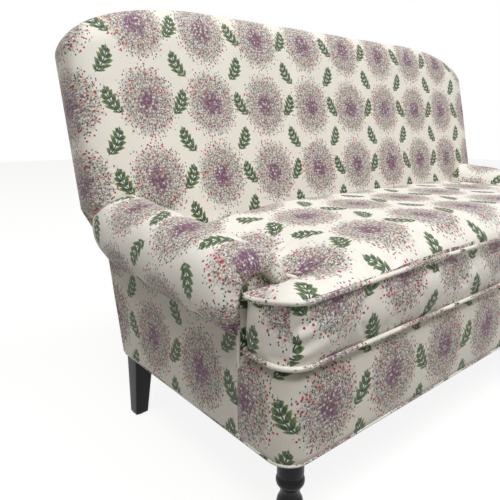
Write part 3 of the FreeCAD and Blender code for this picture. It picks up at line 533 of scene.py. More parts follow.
def woven(name, low, high, pitch):
    """Plain webbing or lining: two colours of thread on Object coordinates."""
    material, m, shader = new_finish(name, 0.85)
    place = object_place(m)
    x, y, z = m.split(place)
    turn_rate = 2 * math.pi / pitch
    thread = m.math("SINE", x * turn_rate) * m.math("SINE", (y + z) * turn_rate) * 0.5 + 0.5
    share = thread * 0.5 + m.noise(place, 140.0, 3.0) * 0.5
    m.put(m.paint(share, rgb(*low), rgb(*high)), shader.inputs["Base Color"])
    bump(m, shader, thread, 0.4, 0.0005)
    return material


def wooden(name, low, high, rough, coat, gloss):
    """Wood: noise drawn out along the grain, in two tones, under a thin coat."""
    material, m, shader = new_finish(name, rough, Coat_Weight=coat, Coat_Roughness=0.16,
                                     Specular_IOR_Level=gloss)
    place = object_place(m)
    grain = m.noise(m.vector("MULTIPLY", place, (8.0, 8.0, 60.0)), 6.0, 4.0)
    pores = m.noise(m.vector("MULTIPLY", place, (40.0, 40.0, 300.0)), 5.0)
    tones = m.paint(m.step(0.35, 0.65, grain * 0.7 + pores * 0.3), rgb(*low), rgb(*high))
    m.put(tones, shader.inputs["Base Color"])
    bump(m, shader, pores, 0.12, 0.0003)
    return material


def scuffed(name, colour, metallic, rough):
    """Metal or nylon: one colour, worn by a fine noise in its roughness."""
    material, m, shader = new_finish(name, rough, Metallic=metallic)
    worn = m.noise(object_place(m), 300.0, 3.0)
    m.put(m.paint(worn, rgb(*colour), paled(colour, 0.8)), shader.inputs["Base Color"])
    m.put(worn * 0.3 + (rough - 0.1), shader.inputs["Roughness"])
    return material


# The same printed linen, made four times. The back, side and piping copies have a slightly darker, warmer ground
# than the seat's copy, which is painted shade for faces that get less light. Their shifts move the print.
LINEN = printed("printed_linen")
LINEN_BACK_SHADED = printed("printed_linen_back_shaded", (0.03, 0.06), (244, 240, 230))
LINEN_SIDE_SHADED = printed("printed_linen_side_shaded", (0.05, 0.02), (243, 239, 228))
PIPING_SHADED = printed("piping_linen_shaded", (0.013, 0.021), (243, 239, 229))
DECK_CLOTH = woven("deck_cloth", (214, 206, 188), (232, 226, 210), 0.0016)
LINING = woven("lining_cloth", (20, 20, 22), (42, 42, 44), 0.002)
JUTE = woven("jute_webbing", (120, 92, 58), (176, 146, 102), 0.004)
BEECH = wooden("beech", (196, 158, 112), (222, 190, 148), 0.55, 0.05, 0.5)
EBONISED = wooden("ebonised_wood", (5, 6, 8), (12, 14, 18), 0.42, 0.30, 0.10)
STEEL = scuffed("zinc_steel", (170, 172, 174), 1.0, 0.38)
NYLON = scuffed("glide_nylon", (62, 60, 58), 0.0, 0.5)
print(len(bpy.data.materials), "materials")

# %% [markdown]
# ## Arms
# On an english roll arm one cover runs from the seat up the inside of the arm, over the padded roll and
# down to a seam under its overhang. At the front the cloth turns in round a narrow facing that is set
# back in the end of the roll, so the roll's end is a soft ring, full at the top and outside and thin
# below. One profile does all this: an open run of points that is carried back along the climbing roll
# to the plane of the sofa's back, and at the front is blended, through half a turn, into the facing's
# outline.

# %% Arm covers
def arm_profile():
    """Section of the arm cover from its outer seam, under the overhang, round the roll and down inside;
    the facing's outline with the same count of points; and the point where the inside part starts.
    Columns are across and height from the roll's middle."""
    low = np.radians(np.linspace(-60, 0, 26))
    over = np.radians(np.linspace(0, 180, 96))[1:]
    down = np.linspace(0, 1, 16)[1:]
    round_part = np.concatenate([low, over])
    under = np.linspace(0, 1, 6)[:-1]
    overhang = np.stack([0.8195 + 0.0145 * under, -0.0795 + 0.0032 * under ** 2], -1)
    outer = np.stack([ROLL_X + ROLL_R * np.cos(round_part), ROLL_R * np.sin(round_part)], -1)
    inside = np.stack([0.702 - 0.004 * ease(0, 0.5, down), -0.128 * down], -1)
    arch, middle = FACING_HALF + 0.0075, 0.005
    left = np.stack([np.full(31, FACING_X + arch), np.linspace(-0.080, middle, 31)], -1)
    top = np.stack([FACING_X + arch * np.cos(over), middle + arch * np.sin(over)], -1)
    right = np.stack([np.full(15, FACING_X - arch), middle + (-0.128 - middle) * down], -1)
    inner = len(overhang) + len(outer) - 1
    return np.concatenate([overhang, outer, inside]), np.concatenate([left, top, right]), inner


def arm_cover(side):
    """The whole cover of one arm. Roll rows: the section at each place from front to back. Nose rows: a
    point goes from the section to the facing's outline by a softened half cosine of v, and forward by
    depth times a power of sin pi v, so that the ring is a full half ellipse across."""
    section, arch, inner = arm_profile()
    run = lengths(section)
    fullness = np.sqrt(np.clip(np.linalg.norm(section - arch, axis=1) / 0.046, 0, 1))
    base = -0.250 - 0.012 * (1 - fullness)
    v = np.linspace(0, 1, 26)[:, None]
    swing, arc = np.cos(math.pi * v), np.sin(math.pi * v)
    share = (1 - np.sign(swing) * np.abs(swing) ** 0.8) / 2
    hub = np.array([ROLL_X, 0.0])
    out = (section - hub) / np.linalg.norm(section - hub, axis=1, keepdims=True)
    gathers = 0.0017 * np.sin(run * 2 * math.pi / 0.019 + 1.5 * np.sin(run * 40))
    gathers = gathers * ease(0.45, 0.9, v) * fullness
    pleat = 0.0050 * np.exp(-((run - 0.165 - 0.040 * (1 - v)) / 0.0040) ** 2)
    pleat = pleat * ease(0.02, 0.25, v) * ease(1.0, 0.9, v)
    nose = section[None] + (arch - section)[None] * share[..., None] - out[None] * pleat[..., None] * 0.8
    nose_y = base + (-0.262 - base) * share - (0.032 * fullness + gathers - pleat) * arc ** 0.68
    nose_run = lengths(np.hstack([share * 0.046, 0.036 * arc]))[:, None]
    # rear end first: three rows that close it, then the roll up to its nose
    rear = back_plane(roll_middle(0.28) + section[:, 1], -0.014)
    end_y = rear + np.array([0.007, 0.006, 0.003])[:, None]
    roll_y = base + (rear - base) * np.linspace(1, 0, 60)[:, None]
    open_seam = ease(0.0, 0.035, run)
    # the stuffing is a little uneven, and the rear end rounds off by 45 mm over its last 120 mm
    uneven = 0.0012 * np.sin(roll_y * 31 + 2.0 * side) * np.sin(run * 23)
    uneven = uneven + 0.0010 * np.sin(roll_y * 57 + run * 17)
    uneven = uneven * ease(0.0, 0.10, run) * ease(0.42, 0.34, run)
    near_rear = 1 - np.clip((rear - np.vstack([end_y, roll_y])) / 0.120, 0, 1)
    puff = np.vstack([0 * end_y, uneven]) - 0.045 * (1 - np.sqrt(1 - near_rear ** 2)) * open_seam
    drawn_in = np.concatenate([[0.10, 0.05, 0.015], np.zeros(len(roll_y))])[:, None] * open_seam
    body = hub + (section - hub)[None] * (1 - drawn_in)[..., None] + out[None] * puff[..., None]
    flat = np.concatenate([body, nose[1:], arch[None]])
    y = np.vstack([end_y, roll_y, nose_y[1:], np.full((1, len(run)), -0.256)])
    points = np.stack([side * flat[..., 0], y, flat[..., 1] + roll_middle(y)], -1)
    points[..., 2] += roll_lift(y) * np.clip(-flat[..., 1] / 0.0795, 0, 1) * (run[None] < run[inner])
    points[..., 2] = np.where(run[None] > run[inner], np.maximum(points[..., 2], ARM_FOOT), points[..., 2])
    ahead = np.vstack([-end_y, -roll_y, -base + nose_run[1:] + 0 * run, (-base + nose_run[-1] + 0.007)[None]])
    return points, np.stack([side * ahead, (run[-1] - run)[None] + 0 * ahead], -1)


for name, side in SIDES:
    cover = piece(f"{name}_arm_cover", [quilt(*arm_cover(side))], LINEN,
                  (f"{name}_arm_roll", f"{name}_inside_arm"), sharp=60)
    thicken(cover, "cloth and wadding", 0.004)

# %% [markdown]
# The facing is a small board, padded with a thin layer and covered, then nailed on over the gathered
# ends of the arm cover. Its edge is piped.

# %% Arm facings and their piping
def facing_panel(side):
    """Columns across, rows up: half width is 31 mm, then the half circle's. The face is domed by
    2.5 mm and its rim turns back 6 mm."""
    middle, spring, half = FACING_X, FACING_SPRING, FACING_HALF
    rise = np.append(half * np.sin(np.linspace(0, math.pi / 2, 16)[1:-1]), half * 0.9995)
    rows = np.concatenate([np.linspace(ARM_FOOT, spring, 14), spring + rise])
    reach = np.where(rows > spring, np.sqrt(np.maximum(half ** 2 - (rows - spring) ** 2, 0)), half)
    a = np.sin(np.linspace(-1, 1, 17) * math.pi / 2)
    x = middle + a[None] * reach[:, None]
    z = rows[:, None] + 0 * x
    inner = np.minimum(reach[:, None] - np.abs(x - middle), spring + half - z)
    y = ARM_FRONT - 0.0025 * (1 - np.clip(1 - inner / 0.022, 0, 1) ** 2) + 0.001
    points = np.stack([side * x, y, z], -1)
    rim = np.concatenate([points[:, 0], points[-1, 1:], points[::-1, -1][1:]])
    band = np.stack([rim, rim + [0, 0.006, 0]])
    return [quilt(points, points[..., [0, 2]]), quilt(band, band[..., [0, 2]])]


def facing_line(side):
    """Middle line of the piping: up the outside, over the arch and down the inside."""
    half = FACING_HALF + 0.0035
    turn = np.linspace(0, math.pi, 40)[1:-1]
    up = np.linspace(ARM_FOOT, FACING_SPRING, 14)
    x = FACING_X + np.concatenate([np.full(14, half), half * np.cos(turn), np.full(14, -half)])
    z = np.concatenate([up, FACING_SPRING + half * np.sin(turn), up[::-1]])
    return np.stack([side * x, np.full_like(x, ARM_FRONT + 0.003), z], -1)


for name, side in SIDES:
    piece(f"{name}_facing", facing_panel(side), LINEN_SIDE_SHADED, (f"{name}_arm_facing",))
    piece(f"{name}_facing_cord", cord(facing_line(side), 0.0035, (0, 1, 0)), PIPING_SHADED,
          (f"{name}_facing_piping",))

# %% [markdown]
# The outside arm is one flat panel, back-tacked under the roll and sewn blind down its front edge. Cloth
# pulled tight over an open frame sits a hair hollow, and turns in sharply at each edge.

# %% Outside arm panels
SIDE_SEAM = -0.2646


def turned_edge(distance, radius=0.003):
    """How far cloth lies back near an edge that turns in by a quarter circle."""
    return radius * (1 - np.sqrt(np.clip(1 - (1 - np.clip(distance / radius, 0, 1)) ** 2, 0, 1)))


def outside_arm(side):
    """Grid over the panel: rows from the hem to the seam under the roll, columns from the border back
    to the leaning rear edge. Its edges turn in by a quarter circle of 3 mm."""
    a = (1 - np.cos(np.linspace(0, math.pi, 60)))[None] / 2
    b = (1 - np.cos(np.linspace(0, math.pi, 40)))[:, None] / 2
    front = SIDE_SEAM
    seam = roll_middle(front + a * 0.5) + roll_lift(front + a * 0.5) - 0.080
    z = HEM + (seam - HEM) * b
    y = front + (back_plane(z, -0.002) - front) * a
    edge = np.minimum(np.minimum(y - front, back_plane(z, -0.002) - y), z - HEM + 0.002)
    turned = turned_edge(edge)
    hollow = 0.0018 * ease(0, 0.10, edge)
    x = HALF_BODY - turned - hollow + 0.0006 * np.sin(y * 41) * np.sin(z * 37)
    points = np.stack([side * x, y, z + 0 * y], -1)
    return points, np.stack([-side * y, points[..., 2]], -1)


for name, side in SIDES:
    panel = piece(f"{name}_outside_panel", [quilt(*outside_arm(side))], LINEN_SIDE_SHADED,
                  (f"{name}_outside_arm",))
    thicken(panel, "cloth and wadding", 0.005)

# %% [markdown]
# ## Front border and hem
# A padded strip covers the front rail, turns both front corners and ends at an upright seam under each
# arm. Its top edge is rolled over. The hem is piped with a thin cord in the same cloth.

# %% Front border and hem piping
def plan_line(outer, corner, rear):
    """Seen from above: from the left side's rear end round both front corners to the right side."""
    front = FRONT + (HALF_BODY - outer)
    return rounded_run([(-outer, rear, 0), (-outer, front, corner), (outer, front, corner), (outer, rear, 0)],
                       closed=False, step=0.014)


def border_strip():
    """A profile of (outward, height) carried round the plan: a shallow belly, then a quarter ellipse,
    34 by 25 mm, over the top edge. The last 3 mm before each end turn in towards the seam."""
    line = plan_line(HALF_BODY, 0.050, SIDE_SEAM - 0.0002)
    out = normals(line, closed=False)
    run = lengths(line)
    low = np.linspace(0, 1, 14)
    bulge = 0.0025 * np.sin(math.pi * low) - 0.002 * (1 - ease(0, 0.08, low))
    belly = np.stack([bulge, HEM - 0.001 + low * 0.150], -1)
    turn = np.linspace(0, math.pi / 2, 14)[1:]
    rolled = np.stack([-0.034 + 0.034 * np.cos(turn), BORDER_TOP - 0.025 + 0.025 * np.sin(turn)], -1)
    inward = np.array([[-0.040, BORDER_TOP + 0.0001], [-0.046, BORDER_TOP - 0.001]])
    profile = np.concatenate([belly, rolled, inward])
    tuck = turned_edge(np.minimum(run, run[-1] - run))
    waves = 0.0008 * np.sin(run * 19)[:, None] * np.sin(profile[None, :, 1] * 30)
    offset = profile[None, :, 0] - tuck[:, None] + waves
    points = np.concatenate([line[:, None] + out[:, None] * offset[..., None],
                             np.broadcast_to(profile[None, :, 1:], offset.shape + (1,))], -1)
    cloth = np.stack(np.broadcast_arrays((run - run[-1] / 2)[:, None], HEM + lengths(profile)[None]), -1)
    return points, cloth


border = piece("border_strip", [quilt(*border_strip())], LINEN_SIDE_SHADED, ("front_border",))
thicken(border, "cloth and wadding", 0.006)
hem_line = plan_line(HALF_BODY - 0.003, 0.047, float(back_plane(0.170, -0.011)))
hem_line = np.column_stack([hem_line, np.full(len(hem_line), 0.171)])
piece("hem_cord", cord(hem_line, 0.003, (0, 0, 1)), PIPING_SHADED, ("hem_piping",))

# %% [markdown]
# ## The back
# The inside back is one padded panel with large round top corners. It is widest above the arms and
# narrower where it goes down between them to the seat. Its front face swells a centimetre and rolls
# over a soft edge into a side band, and the outside back closes it from behind.

# %% Shape of the back, and how far a point is from its edge
def tee_width(s, shape):
    """Half width at a place s along the shape: narrow up to the step, then wider along the step's own
    widths, and drawn in by the top corners, each a quarter of an ellipse."""
    wide = np.interp(s, shape["step"], shape["steps_to"])
    across, tall = shape["corner"]
    into = np.clip((s - (shape["top"] - tall)) / tall, 0, 1)
    return wide - across * (1 - np.sqrt(1 - into ** 2))


def tee_inset(x, s, shape):
    """Distance from a point to the nearest edge of the shape, taken from inside. A step of under 50 mm
    counts as a bend in the side, a wider one as an edge of its own."""
    x = np.abs(x)
    across, tall = shape["corner"]
    cx, cs = np.maximum(x - (shape["wide"] - across), 0), np.maximum(s - (shape["top"] - tall), 0)
    share = np.hypot(cx / across, cs / tall)
    slope = np.hypot(cx / across ** 2, cs / tall ** 2) / np.maximum(share, 1e-6)
    in_corner = (cx > 0) & (cs > 0)
    straight = np.minimum(tee_width(s, shape) - x, shape["top"] - s)
    to_top = np.where(in_corner, (1 - share) / np.maximum(slope, 1e-6), straight)
    step = shape["step"][1]
    if shape["steps_to"][1] - shape["narrow"] < 0.05:
        return np.maximum(np.minimum(to_top, s - shape["foot"]), 0)
    above = np.where(x < shape["narrow"], np.hypot(shape["narrow"] - x, np.maximum(s - step, 0)), s - step)
    below = np.minimum(shape["narrow"] - x, s - shape["foot"])
    return np.maximum(np.where(s > step, np.minimum(to_top, above), np.minimum(below, to_top)), 0)


def tee_rows(shape, count):
    """Rows crowded towards the foot, the step and the top."""
    crowd = (1 - np.cos(np.linspace(0, math.pi, count))) / 2
    first, last = shape["step"][:2]
    low = shape["foot"] + (first - 0.001 - shape["foot"]) * crowd[:: max(1, count // 20)]
    high = last + 0.001 + (shape["top"] - last - 0.001) * crowd
    return np.concatenate([low, np.linspace(first, last, 9), high])


def around(grid):
    """The closed rim of a grid, back to its first point."""
    return np.concatenate([grid[0], grid[1:, -1], grid[-1, -2::-1], grid[-2::-1, 0]])


def tee_grid(shape, rows, columns):
    """Places (across, along) over the shape, crowded towards its edges."""
    along = tee_rows(shape, rows)[:, None]
    t = np.linspace(-1, 1, columns)[None]
    across = t * (2 - np.abs(t)) * tee_width(along, shape)
    return across, along + 0 * across


BACK = {"narrow": 0.697, "wide": 0.870, "foot": 0.142, "step": (0.323, 0.335, 0.375),
        "steps_to": (0.697, 0.836, 0.870), "top": 0.870, "corner": (0.400, 0.128)}


def inside_back():
    """Front face: depth goes from -72 mm at the edge to -120 mm, as a superellipse of the inset. The
    side band runs straight back from its rim. Cloth places are across and up the slope, and on the
    band carry on outwards."""
    x, s = tee_grid(BACK, 90, 121)
    inset = tee_inset(x, s, BACK)
    swell = (1 - (1 - np.clip(inset / 0.125, 0, 1)) ** 2.6) ** (1 / 2.3)
    pulls = 0.0011 * np.sin(x * 19 + 1.3) * np.sin(s * 13) + 0.0007 * np.sin(x * 43 - s * 21)
    depth = -0.072 - 0.048 * swell + pulls * ease(0, 0.05, inset)
    face = on_back(x, s, depth)
    flat = np.stack([x, s], -1)
    rim, rim_flat = around(face), around(flat)
    out = normals(rim_flat)
    out *= np.sign(np.sum(out * (rim_flat - [0.0, 0.5]), axis=1).mean())
    steps = np.array([0.0, 0.006, 0.020, 0.045, 0.0635])
    pinch = np.array([0.0, 0.0012, 0.0018, 0.0012, -0.001])
    band = rim[None] + np.multiply.outer(steps, INTO_BACK)[:, None] \
        + np.multiply.outer(pinch, out[:, :1] * [1.0, 0, 0] + out[:, 1:] * UP_SLOPE)
    band_flat = rim_flat[None] + steps[:, None, None] * out[None]
    return [quilt(face, flat), quilt(band, band_flat), lid(band[-1, :-1], band_flat[-1, :-1])]


pad = piece("inside_back_cover", inside_back(), LINEN_BACK_SHADED, ("inside_back",))


REAR = {"narrow": 0.818, "wide": 0.868, "foot": 0.004, "step": (0.243, 0.287, 0.375),
        "steps_to": (0.818, 0.829, 0.868), "top": 0.868, "corner": (0.398, 0.127)}


def outside_back():
    """The same outline down to the hem, as a thin panel: flat behind, its edge turned in over 5 mm."""
    x, s = tee_grid(REAR, 60, 81)
    inset = tee_inset(x, s, REAR)
    depth = -0.005 + 0.005 * (1 - (1 - np.clip(inset / 0.006, 0, 1)) ** 2) ** 0.5
    depth -= 0.0015 * ease(0.05, 0.25, inset) * (1 + 0.4 * np.sin(x * 9) * np.sin(s * 11))
    face, flat = on_back(x, s, depth), np.stack([x, s], -1)
    rim, rim_flat = around(face), around(flat)
    front = rim + INTO_BACK * -0.0028
    return [quilt(face, flat), quilt(np.stack([rim, front]), np.stack([rim_flat, rim_flat])),
            lid(front[:-1], rim_flat[:-1])]


piece("outside_back_cover", outside_back(), LINEN_BACK_SHADED, ("outside_back",))

# %% [markdown]
# ## Seat deck and dust cover
# Under the loose cushion lies a stuffed deck in plain cloth, seen only when the cushion is out. Below
# the rails a black cloth keeps dust from the stuffing.

# %% Deck and dust cover
DECK_SHAPE = {"narrow": 0.697, "wide": 0.806, "foot": -0.132, "step": (0.2775, 0.2785),
              "steps_to": (0.697, 0.806), "top": 0.3785, "corner": (0.045, 0.045)}


def seat_deck():
    """Plan grid, s forwards: the top swells to 350 mm from a rounded edge 20 mm lower."""
    x, s = tee_grid(DECK_SHAPE, 60, 81)
    inset = tee_inset(x, s, DECK_SHAPE)
    crease = 0.0025 * np.exp(-((s - 0.265) / 0.003) ** 2)
    z = DECK - 0.020 + 0.020 * (1 - (1 - np.clip(inset / 0.040, 0, 1)) ** 2.4) ** 0.5 - crease
    top = np.stack([x, -s, z], -1)
    rim = around(top)
    low = rim * [1, 1, 0] + [0, 0, 0.2885]
    band = np.stack([rim, low])
    return [quilt(top, top[..., :2]), quilt(band, band[..., :2]), lid(low[:-1], low[:-1, :2])]


deck = piece("seat_deck_cover", seat_deck(), DECK_CLOTH, ("seat_deck",))


def dust_sheet():
    """Grid from front to rear under the rails, narrower past the legs, hanging 6 mm in the middle."""
    y = np.linspace(-0.368, 0.193, 40)[:, None]
    half = np.interp(y, [-0.318, -0.305, 0.138, 0.150], [0.715, 0.788, 0.788, 0.750])
    x = np.linspace(-1, 1, 60)[None] * half
    z = 0.1690 - 0.006 * np.cos(x / 0.788 * math.pi / 2) * np.cos((y + 0.0875) / 0.281 * math.pi / 2)
    return np.stack([x, y + 0 * x, z], -1), np.stack([x, y + 0 * x], -1)


sheet = piece("dust_sheet", [quilt(*dust_sheet())], LINING, ("dust_cover",))
thicken(sheet, "cloth", 0.001)

# %% [markdown]
# ## Seat cushion
# One long bench cushion in a T shape, with an ear in front of each arm. It is boxed: a strip runs round
# between the top and bottom panels, with piping in both seams. Its shell starts slim and is blown up by
# a cloth simulation with its two piping seams and its underside held, so the panels swell and pucker
# between the seams by themselves.

# %% Cushion outline and shell
PIPE_LOW, PIPE_HIGH = 0.3596, 0.4816
EAR_SEAM = np.array([-0.808, -0.390])
CUSHION = {"narrow": 0.6875, "wide": 0.822, "foot": -0.150, "step": (0.2865, 0.2880),
           "steps_to": (0.6875, 0.822), "top": 0.4018, "corner": (0.055, 0.055)}


def cushion_plan(grow, height):
    """Outline from above, counter-clockwise, moved outwards by grow; the rear leans with the back."""
    wide, narrow, front = CUSHION["wide"] + grow, CUSHION["narrow"] + grow, FRONT - 0.002 - grow
    ear = FRONT + 0.1125 + grow
    rear = float(back_plane(height, -0.120)) - 0.011 + grow
    outer, inner = 0.010 + max(grow, -0.007), 0.008 - min(grow, 0.005)
    return rounded_run([(-wide, front, 0.052 + grow), (wide, front, 0.052 + grow), (wide, ear, outer),
                        (narrow, ear, inner), (narrow, rear, 0.030 + grow), (-narrow, rear, 0.030 + grow),
                        (-narrow, ear, inner), (-wide, ear, outer)])


def settle(x, y):
    """How far the top seam sinks: a little towards both ends, and more at the back of each ear."""
    return 0.008 * ease(0.35, 0.82, np.abs(x)) + 0.012 * ease(-0.39, -0.30, y) * ease(0.62, 0.70, np.abs(x))


def cushion_shell():
    """Rings of the outline from the underside to the top seam, each with 700 points."""
    rings = []
    for height, grow in ((0.3515, -0.022), (0.3535, -0.008), (PIPE_LOW, 0.0), (0.385, 0.001), (0.42, 0.001),
                         (0.455, 0.000), (PIPE_HIGH, 0.0)):
        line = cushion_plan(grow, height)
        rings.append(resample(np.column_stack([line, np.full(len(line), height)]), 700))
    return np.stack(rings)


shell = cushion_shell()
print("cushion shell rings", shell.shape)


# %% Remesh, crown and blow up the cushion
def remeshed(name, patches, voxel):
    """A closed shell as an even skin of quads."""
    mesh = joined(name, patches)
    weld(mesh, 180)
    thing = placed(name, mesh)
    skin = thing.modifiers.new("even skin", "REMESH")
    skin.mode = "VOXEL"
    skin.voxel_size = voxel
    graph = bpy.context.evaluated_depsgraph_get()
    done = bpy.data.meshes.new_from_object(thing.evaluated_get(graph))
    bpy.data.objects.remove(thing)
    return done


def spots(mesh):
    flat = np.empty(len(mesh.vertices) * 3, dtype=np.float32)
    mesh.vertices.foreach_get("co", flat)
    return flat.reshape(-1, 3).astype(float)


def put_spots(mesh, points):
    mesh.vertices.foreach_set("co", points.astype(np.float32).ravel())
    mesh.update()


def crown(x, y):
    """Rise of the cushion's top over its seam: quick at the edge, then long and low to the middle."""
    inset = tee_inset(x, -y, CUSHION)
    quick = (1 - (1 - np.clip(inset / 0.11, 0, 1)) ** 2.2) ** 0.62
    long_way = 0.42 + 0.58 * ease(0.78, 0.30, np.abs(x))
    notch_x, notch_y = np.abs(x) - CUSHION["narrow"], y + 0.2898
    creases = 0.0022 * np.cos(13 * np.arctan2(notch_y, notch_x)) * np.exp(-np.hypot(notch_x, notch_y) / 0.055)
    return 0.050 * quick * long_way + creases * ease(0.004, 0.02, inset)


def inflate(thing, held, pressure, extra, cap, frames=20):
    """Cloth with pressure and no gravity; held points stay, the rest move at most cap."""
    before = spots(thing.data)
    pins = thing.vertex_groups.new(name="held")
    pins.add(np.flatnonzero(held).tolist(), 1.0, "REPLACE")
    cloth = thing.modifiers.new("cloth", "CLOTH")
    for name, value in {"quality": 6, "mass": 0.3, "tension_stiffness": 25, "compression_stiffness": 25,
                        "shear_stiffness": 10, "bending_stiffness": 0.6, "air_damping": 2.0,
                        "use_pressure": True, "uniform_pressure_force": pressure, "shrink_min": -extra,
                        "vertex_group_mass": "held"}.items():
        setattr(cloth.settings, name, value)
    cloth.settings.effector_weights.gravity = 0
    cloth.collision_settings.use_collision = False
    scene = bpy.context.scene
    for step in range(1, frames + 1):
        scene.frame_set(step)
    graph = bpy.context.evaluated_depsgraph_get()
    moved = spots(thing.evaluated_get(graph).data) - before
    thing.modifiers.remove(cloth)
    scene.frame_set(1)
    far = np.linalg.norm(moved, axis=1)
    print(f"{thing.name}: cloth moved {far.max() * 1000:.1f} mm at most, capped at {cap * 1000:.0f}")
    return before + moved * np.minimum(1, cap / np.maximum(far, 1e-9))[:, None]


flat = shell[..., :2]
closed = [quilt(shell, flat)] + [lid(shell[end, :-1], flat[end, :-1]) for end in (0, -1)]
skin = remeshed("cushion_skin", closed, 0.006)
points = spots(skin)
share = np.clip((points[:, 2] - PIPE_LOW) / (PIPE_HIGH - PIPE_LOW), 0, 1)
points[:, 2] -= share * settle(points[:, 0], points[:, 1])
seam_height = PIPE_HIGH - settle(points[:, 0], points[:, 1])
on_top = points[:, 2] > seam_height - 0.002
points[:, 2] += np.where(on_top, crown(points[:, 0], points[:, 1]), 0)
put_spots(skin, points)
cushion = placed("bench_cushion", skin)
inset = tee_inset(points[:, 0], -points[:, 1] + (points[:, 2] - PIPE_HIGH) * math.tan(RAKE), CUSHION)
near_top = np.abs(points[:, 2] - seam_height) < 0.0045
near_low = np.abs(points[:, 2] - PIPE_LOW) < 0.0045
held = ((near_top | near_low) & (inset < 0.006)) | (points[:, 2] < 0.3560)
swollen = inflate(cushion, held, 4.0, 0.012, 0.010)
swollen[:, 2] = np.maximum(swollen[:, 2], 0.3508)
put_spots(skin, swollen)
points = spots(skin)
# at the left front corner the boxing is joined by an upright seam: a groove, with puckers beside it
from_seam = (points[:, 0] - EAR_SEAM[0]) - (points[:, 1] - EAR_SEAM[1])
boxed = ease(0.358, 0.372, points[:, 2]) * ease(0.484, 0.466, points[:, 2])
boxed *= (points[:, 1] < -0.33) & (points[:, 0] < -0.55)
groove = 0.0040 * np.exp(-(from_seam / 0.006) ** 2)
puckers = 0.0034 * np.sin(175 * (points[:, 2] - 0.42) - 42 * from_seam)
puckers *= np.exp(-np.clip(from_seam - 0.02, 0, None) / 0.05)
inwards = boxed * (groove + puckers * ease(0.004, 0.014, from_seam))
points[:, 0] += inwards * 0.35
points[:, 1] += inwards * 0.90
put_spots(skin, points)
print("cushion skin", len(skin.vertices), "points,", int(held.sum()), "held")


# %% Cloth places and piping of the cushion
def read(group, what, wide, kind):
    """One value, or wide of them, for each item of a mesh collection."""
    values = np.empty(len(group) * wide, kind)
    group.foreach_get(what, values)
    return values.reshape(-1, wide) if wide > 1 else values


def panel_places(mesh, outline):
    """Cloth places face by face: the top and underside seen from above, the boxing by its distance
    round the outline and its height. The strip's print starts anew at its upright seam."""
    middle, facing = (read(mesh.polygons, what, 3, np.float32) for what in ("center", "normal"))
    below = middle[:, 2] < PIPE_HIGH - settle(middle[:, 0], middle[:, 1])
    box = below & ((middle[:, 2] > PIPE_LOW) | (np.abs(facing[:, 2]) < 0.35))
    owner = read(mesh.loops, "vertex_index", 1, np.int32)
    starts, totals = (read(mesh.polygons, what, 1, np.int32) for what in ("loop_start", "loop_total"))
    face_of = np.repeat(np.arange(len(totals)), totals)
    points = spots(mesh)
    run = lengths(outline)
    nearest = np.concatenate([np.argmin(((part[:, None, :2] - outline[None]) ** 2).sum(-1), axis=1)
                              for part in np.array_split(points, max(1, len(points) // 3000))])
    seam = run[np.argmin(((outline - EAR_SEAM) ** 2).sum(-1))]
    here = ((run[nearest] - seam) % run[-1])[owner]
    # a face that the strip's start cuts keeps to the side of its first corner
    ahead = here - here[starts[face_of]]
    here = here - run[-1] * (ahead > run[-1] / 2) + run[-1] * (ahead < -run[-1] / 2)
    cloth = np.where(box[face_of, None], np.stack([here, points[owner, 2]], -1), points[owner, :2])
    layer = mesh.uv_layers.new(name="cloth")
    layer.data.foreach_set("uv", cloth.astype(np.float32).ravel())


panel_places(skin, resample(cushion_plan(0.0, PIPE_HIGH), 3000))
skin.materials.append(LINEN)
skin.shade_smooth()
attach(cushion, "cushion")
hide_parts("seat_cushion")
for name, height, drop in (("cushion_bottom", PIPE_LOW, 0.0), ("cushion_top", PIPE_HIGH, 1.0)):
    line = cushion_plan(0.0030, height)
    line = np.column_stack([line, height - drop * settle(line[:, 0], line[:, 1])])
    piece(f"{name}_cord", cord(line, 0.0048, (0, 0, 1), closed=True), PIPING_SHADED,
          (f"{name}_piping",), body="cushion")

# %% [markdown]
# ## Legs
# The front legs are turned: neck, bead, waist, vase and toe. A run of heights and radii, smoothed by a
# short running average, is spun round the leg's axis. The back legs are square and taper on their inner
# and front faces only.

# %% Turned front legs and square back legs
GLIDE_TOP, LEG_TOP = 0.003, 0.170


def closed_tube(points, flat):
    """A grid whose columns close, with a lid at each end."""
    return [quilt(points, flat, ring=True)] + [lid(points[end, :-1], flat[end, :-1]) for end in (0, -1)]


def turned_leg(side):
    """Radius along the height: straight between closely placed stations, then a running average."""
    z = np.linspace(GLIDE_TOP, LEG_TOP, 160)
    heights, radii = np.array([
        (0.003, 0.0170), (0.012, 0.0172), (0.024, 0.0235), (0.038, 0.0270), (0.052, 0.0245), (0.062, 0.0198),
        (0.070, 0.0188), (0.078, 0.0200), (0.0845, 0.0246), (0.088, 0.0269), (0.094, 0.0280), (0.100, 0.0269),
        (0.1035, 0.0246), (0.1062, 0.0232), (0.1075, 0.0252), (0.1085, 0.0260), (0.170, 0.0260)]).T
    blur = np.array([1, 3, 4, 3, 1]) / 12.0
    radius = np.convolve(np.pad(np.interp(z, heights, radii), 2, mode="edge"), blur, mode="valid")[:, None]
    angle = np.linspace(0, 2 * math.pi, 49)
    points = np.stack([side * 0.752 + radius * np.cos(angle), -0.3398 + radius * np.sin(angle),
                       z[:, None] + 0 * angle], -1)
    return closed_tube(points, np.stack([radius * angle, points[..., 2]], -1))


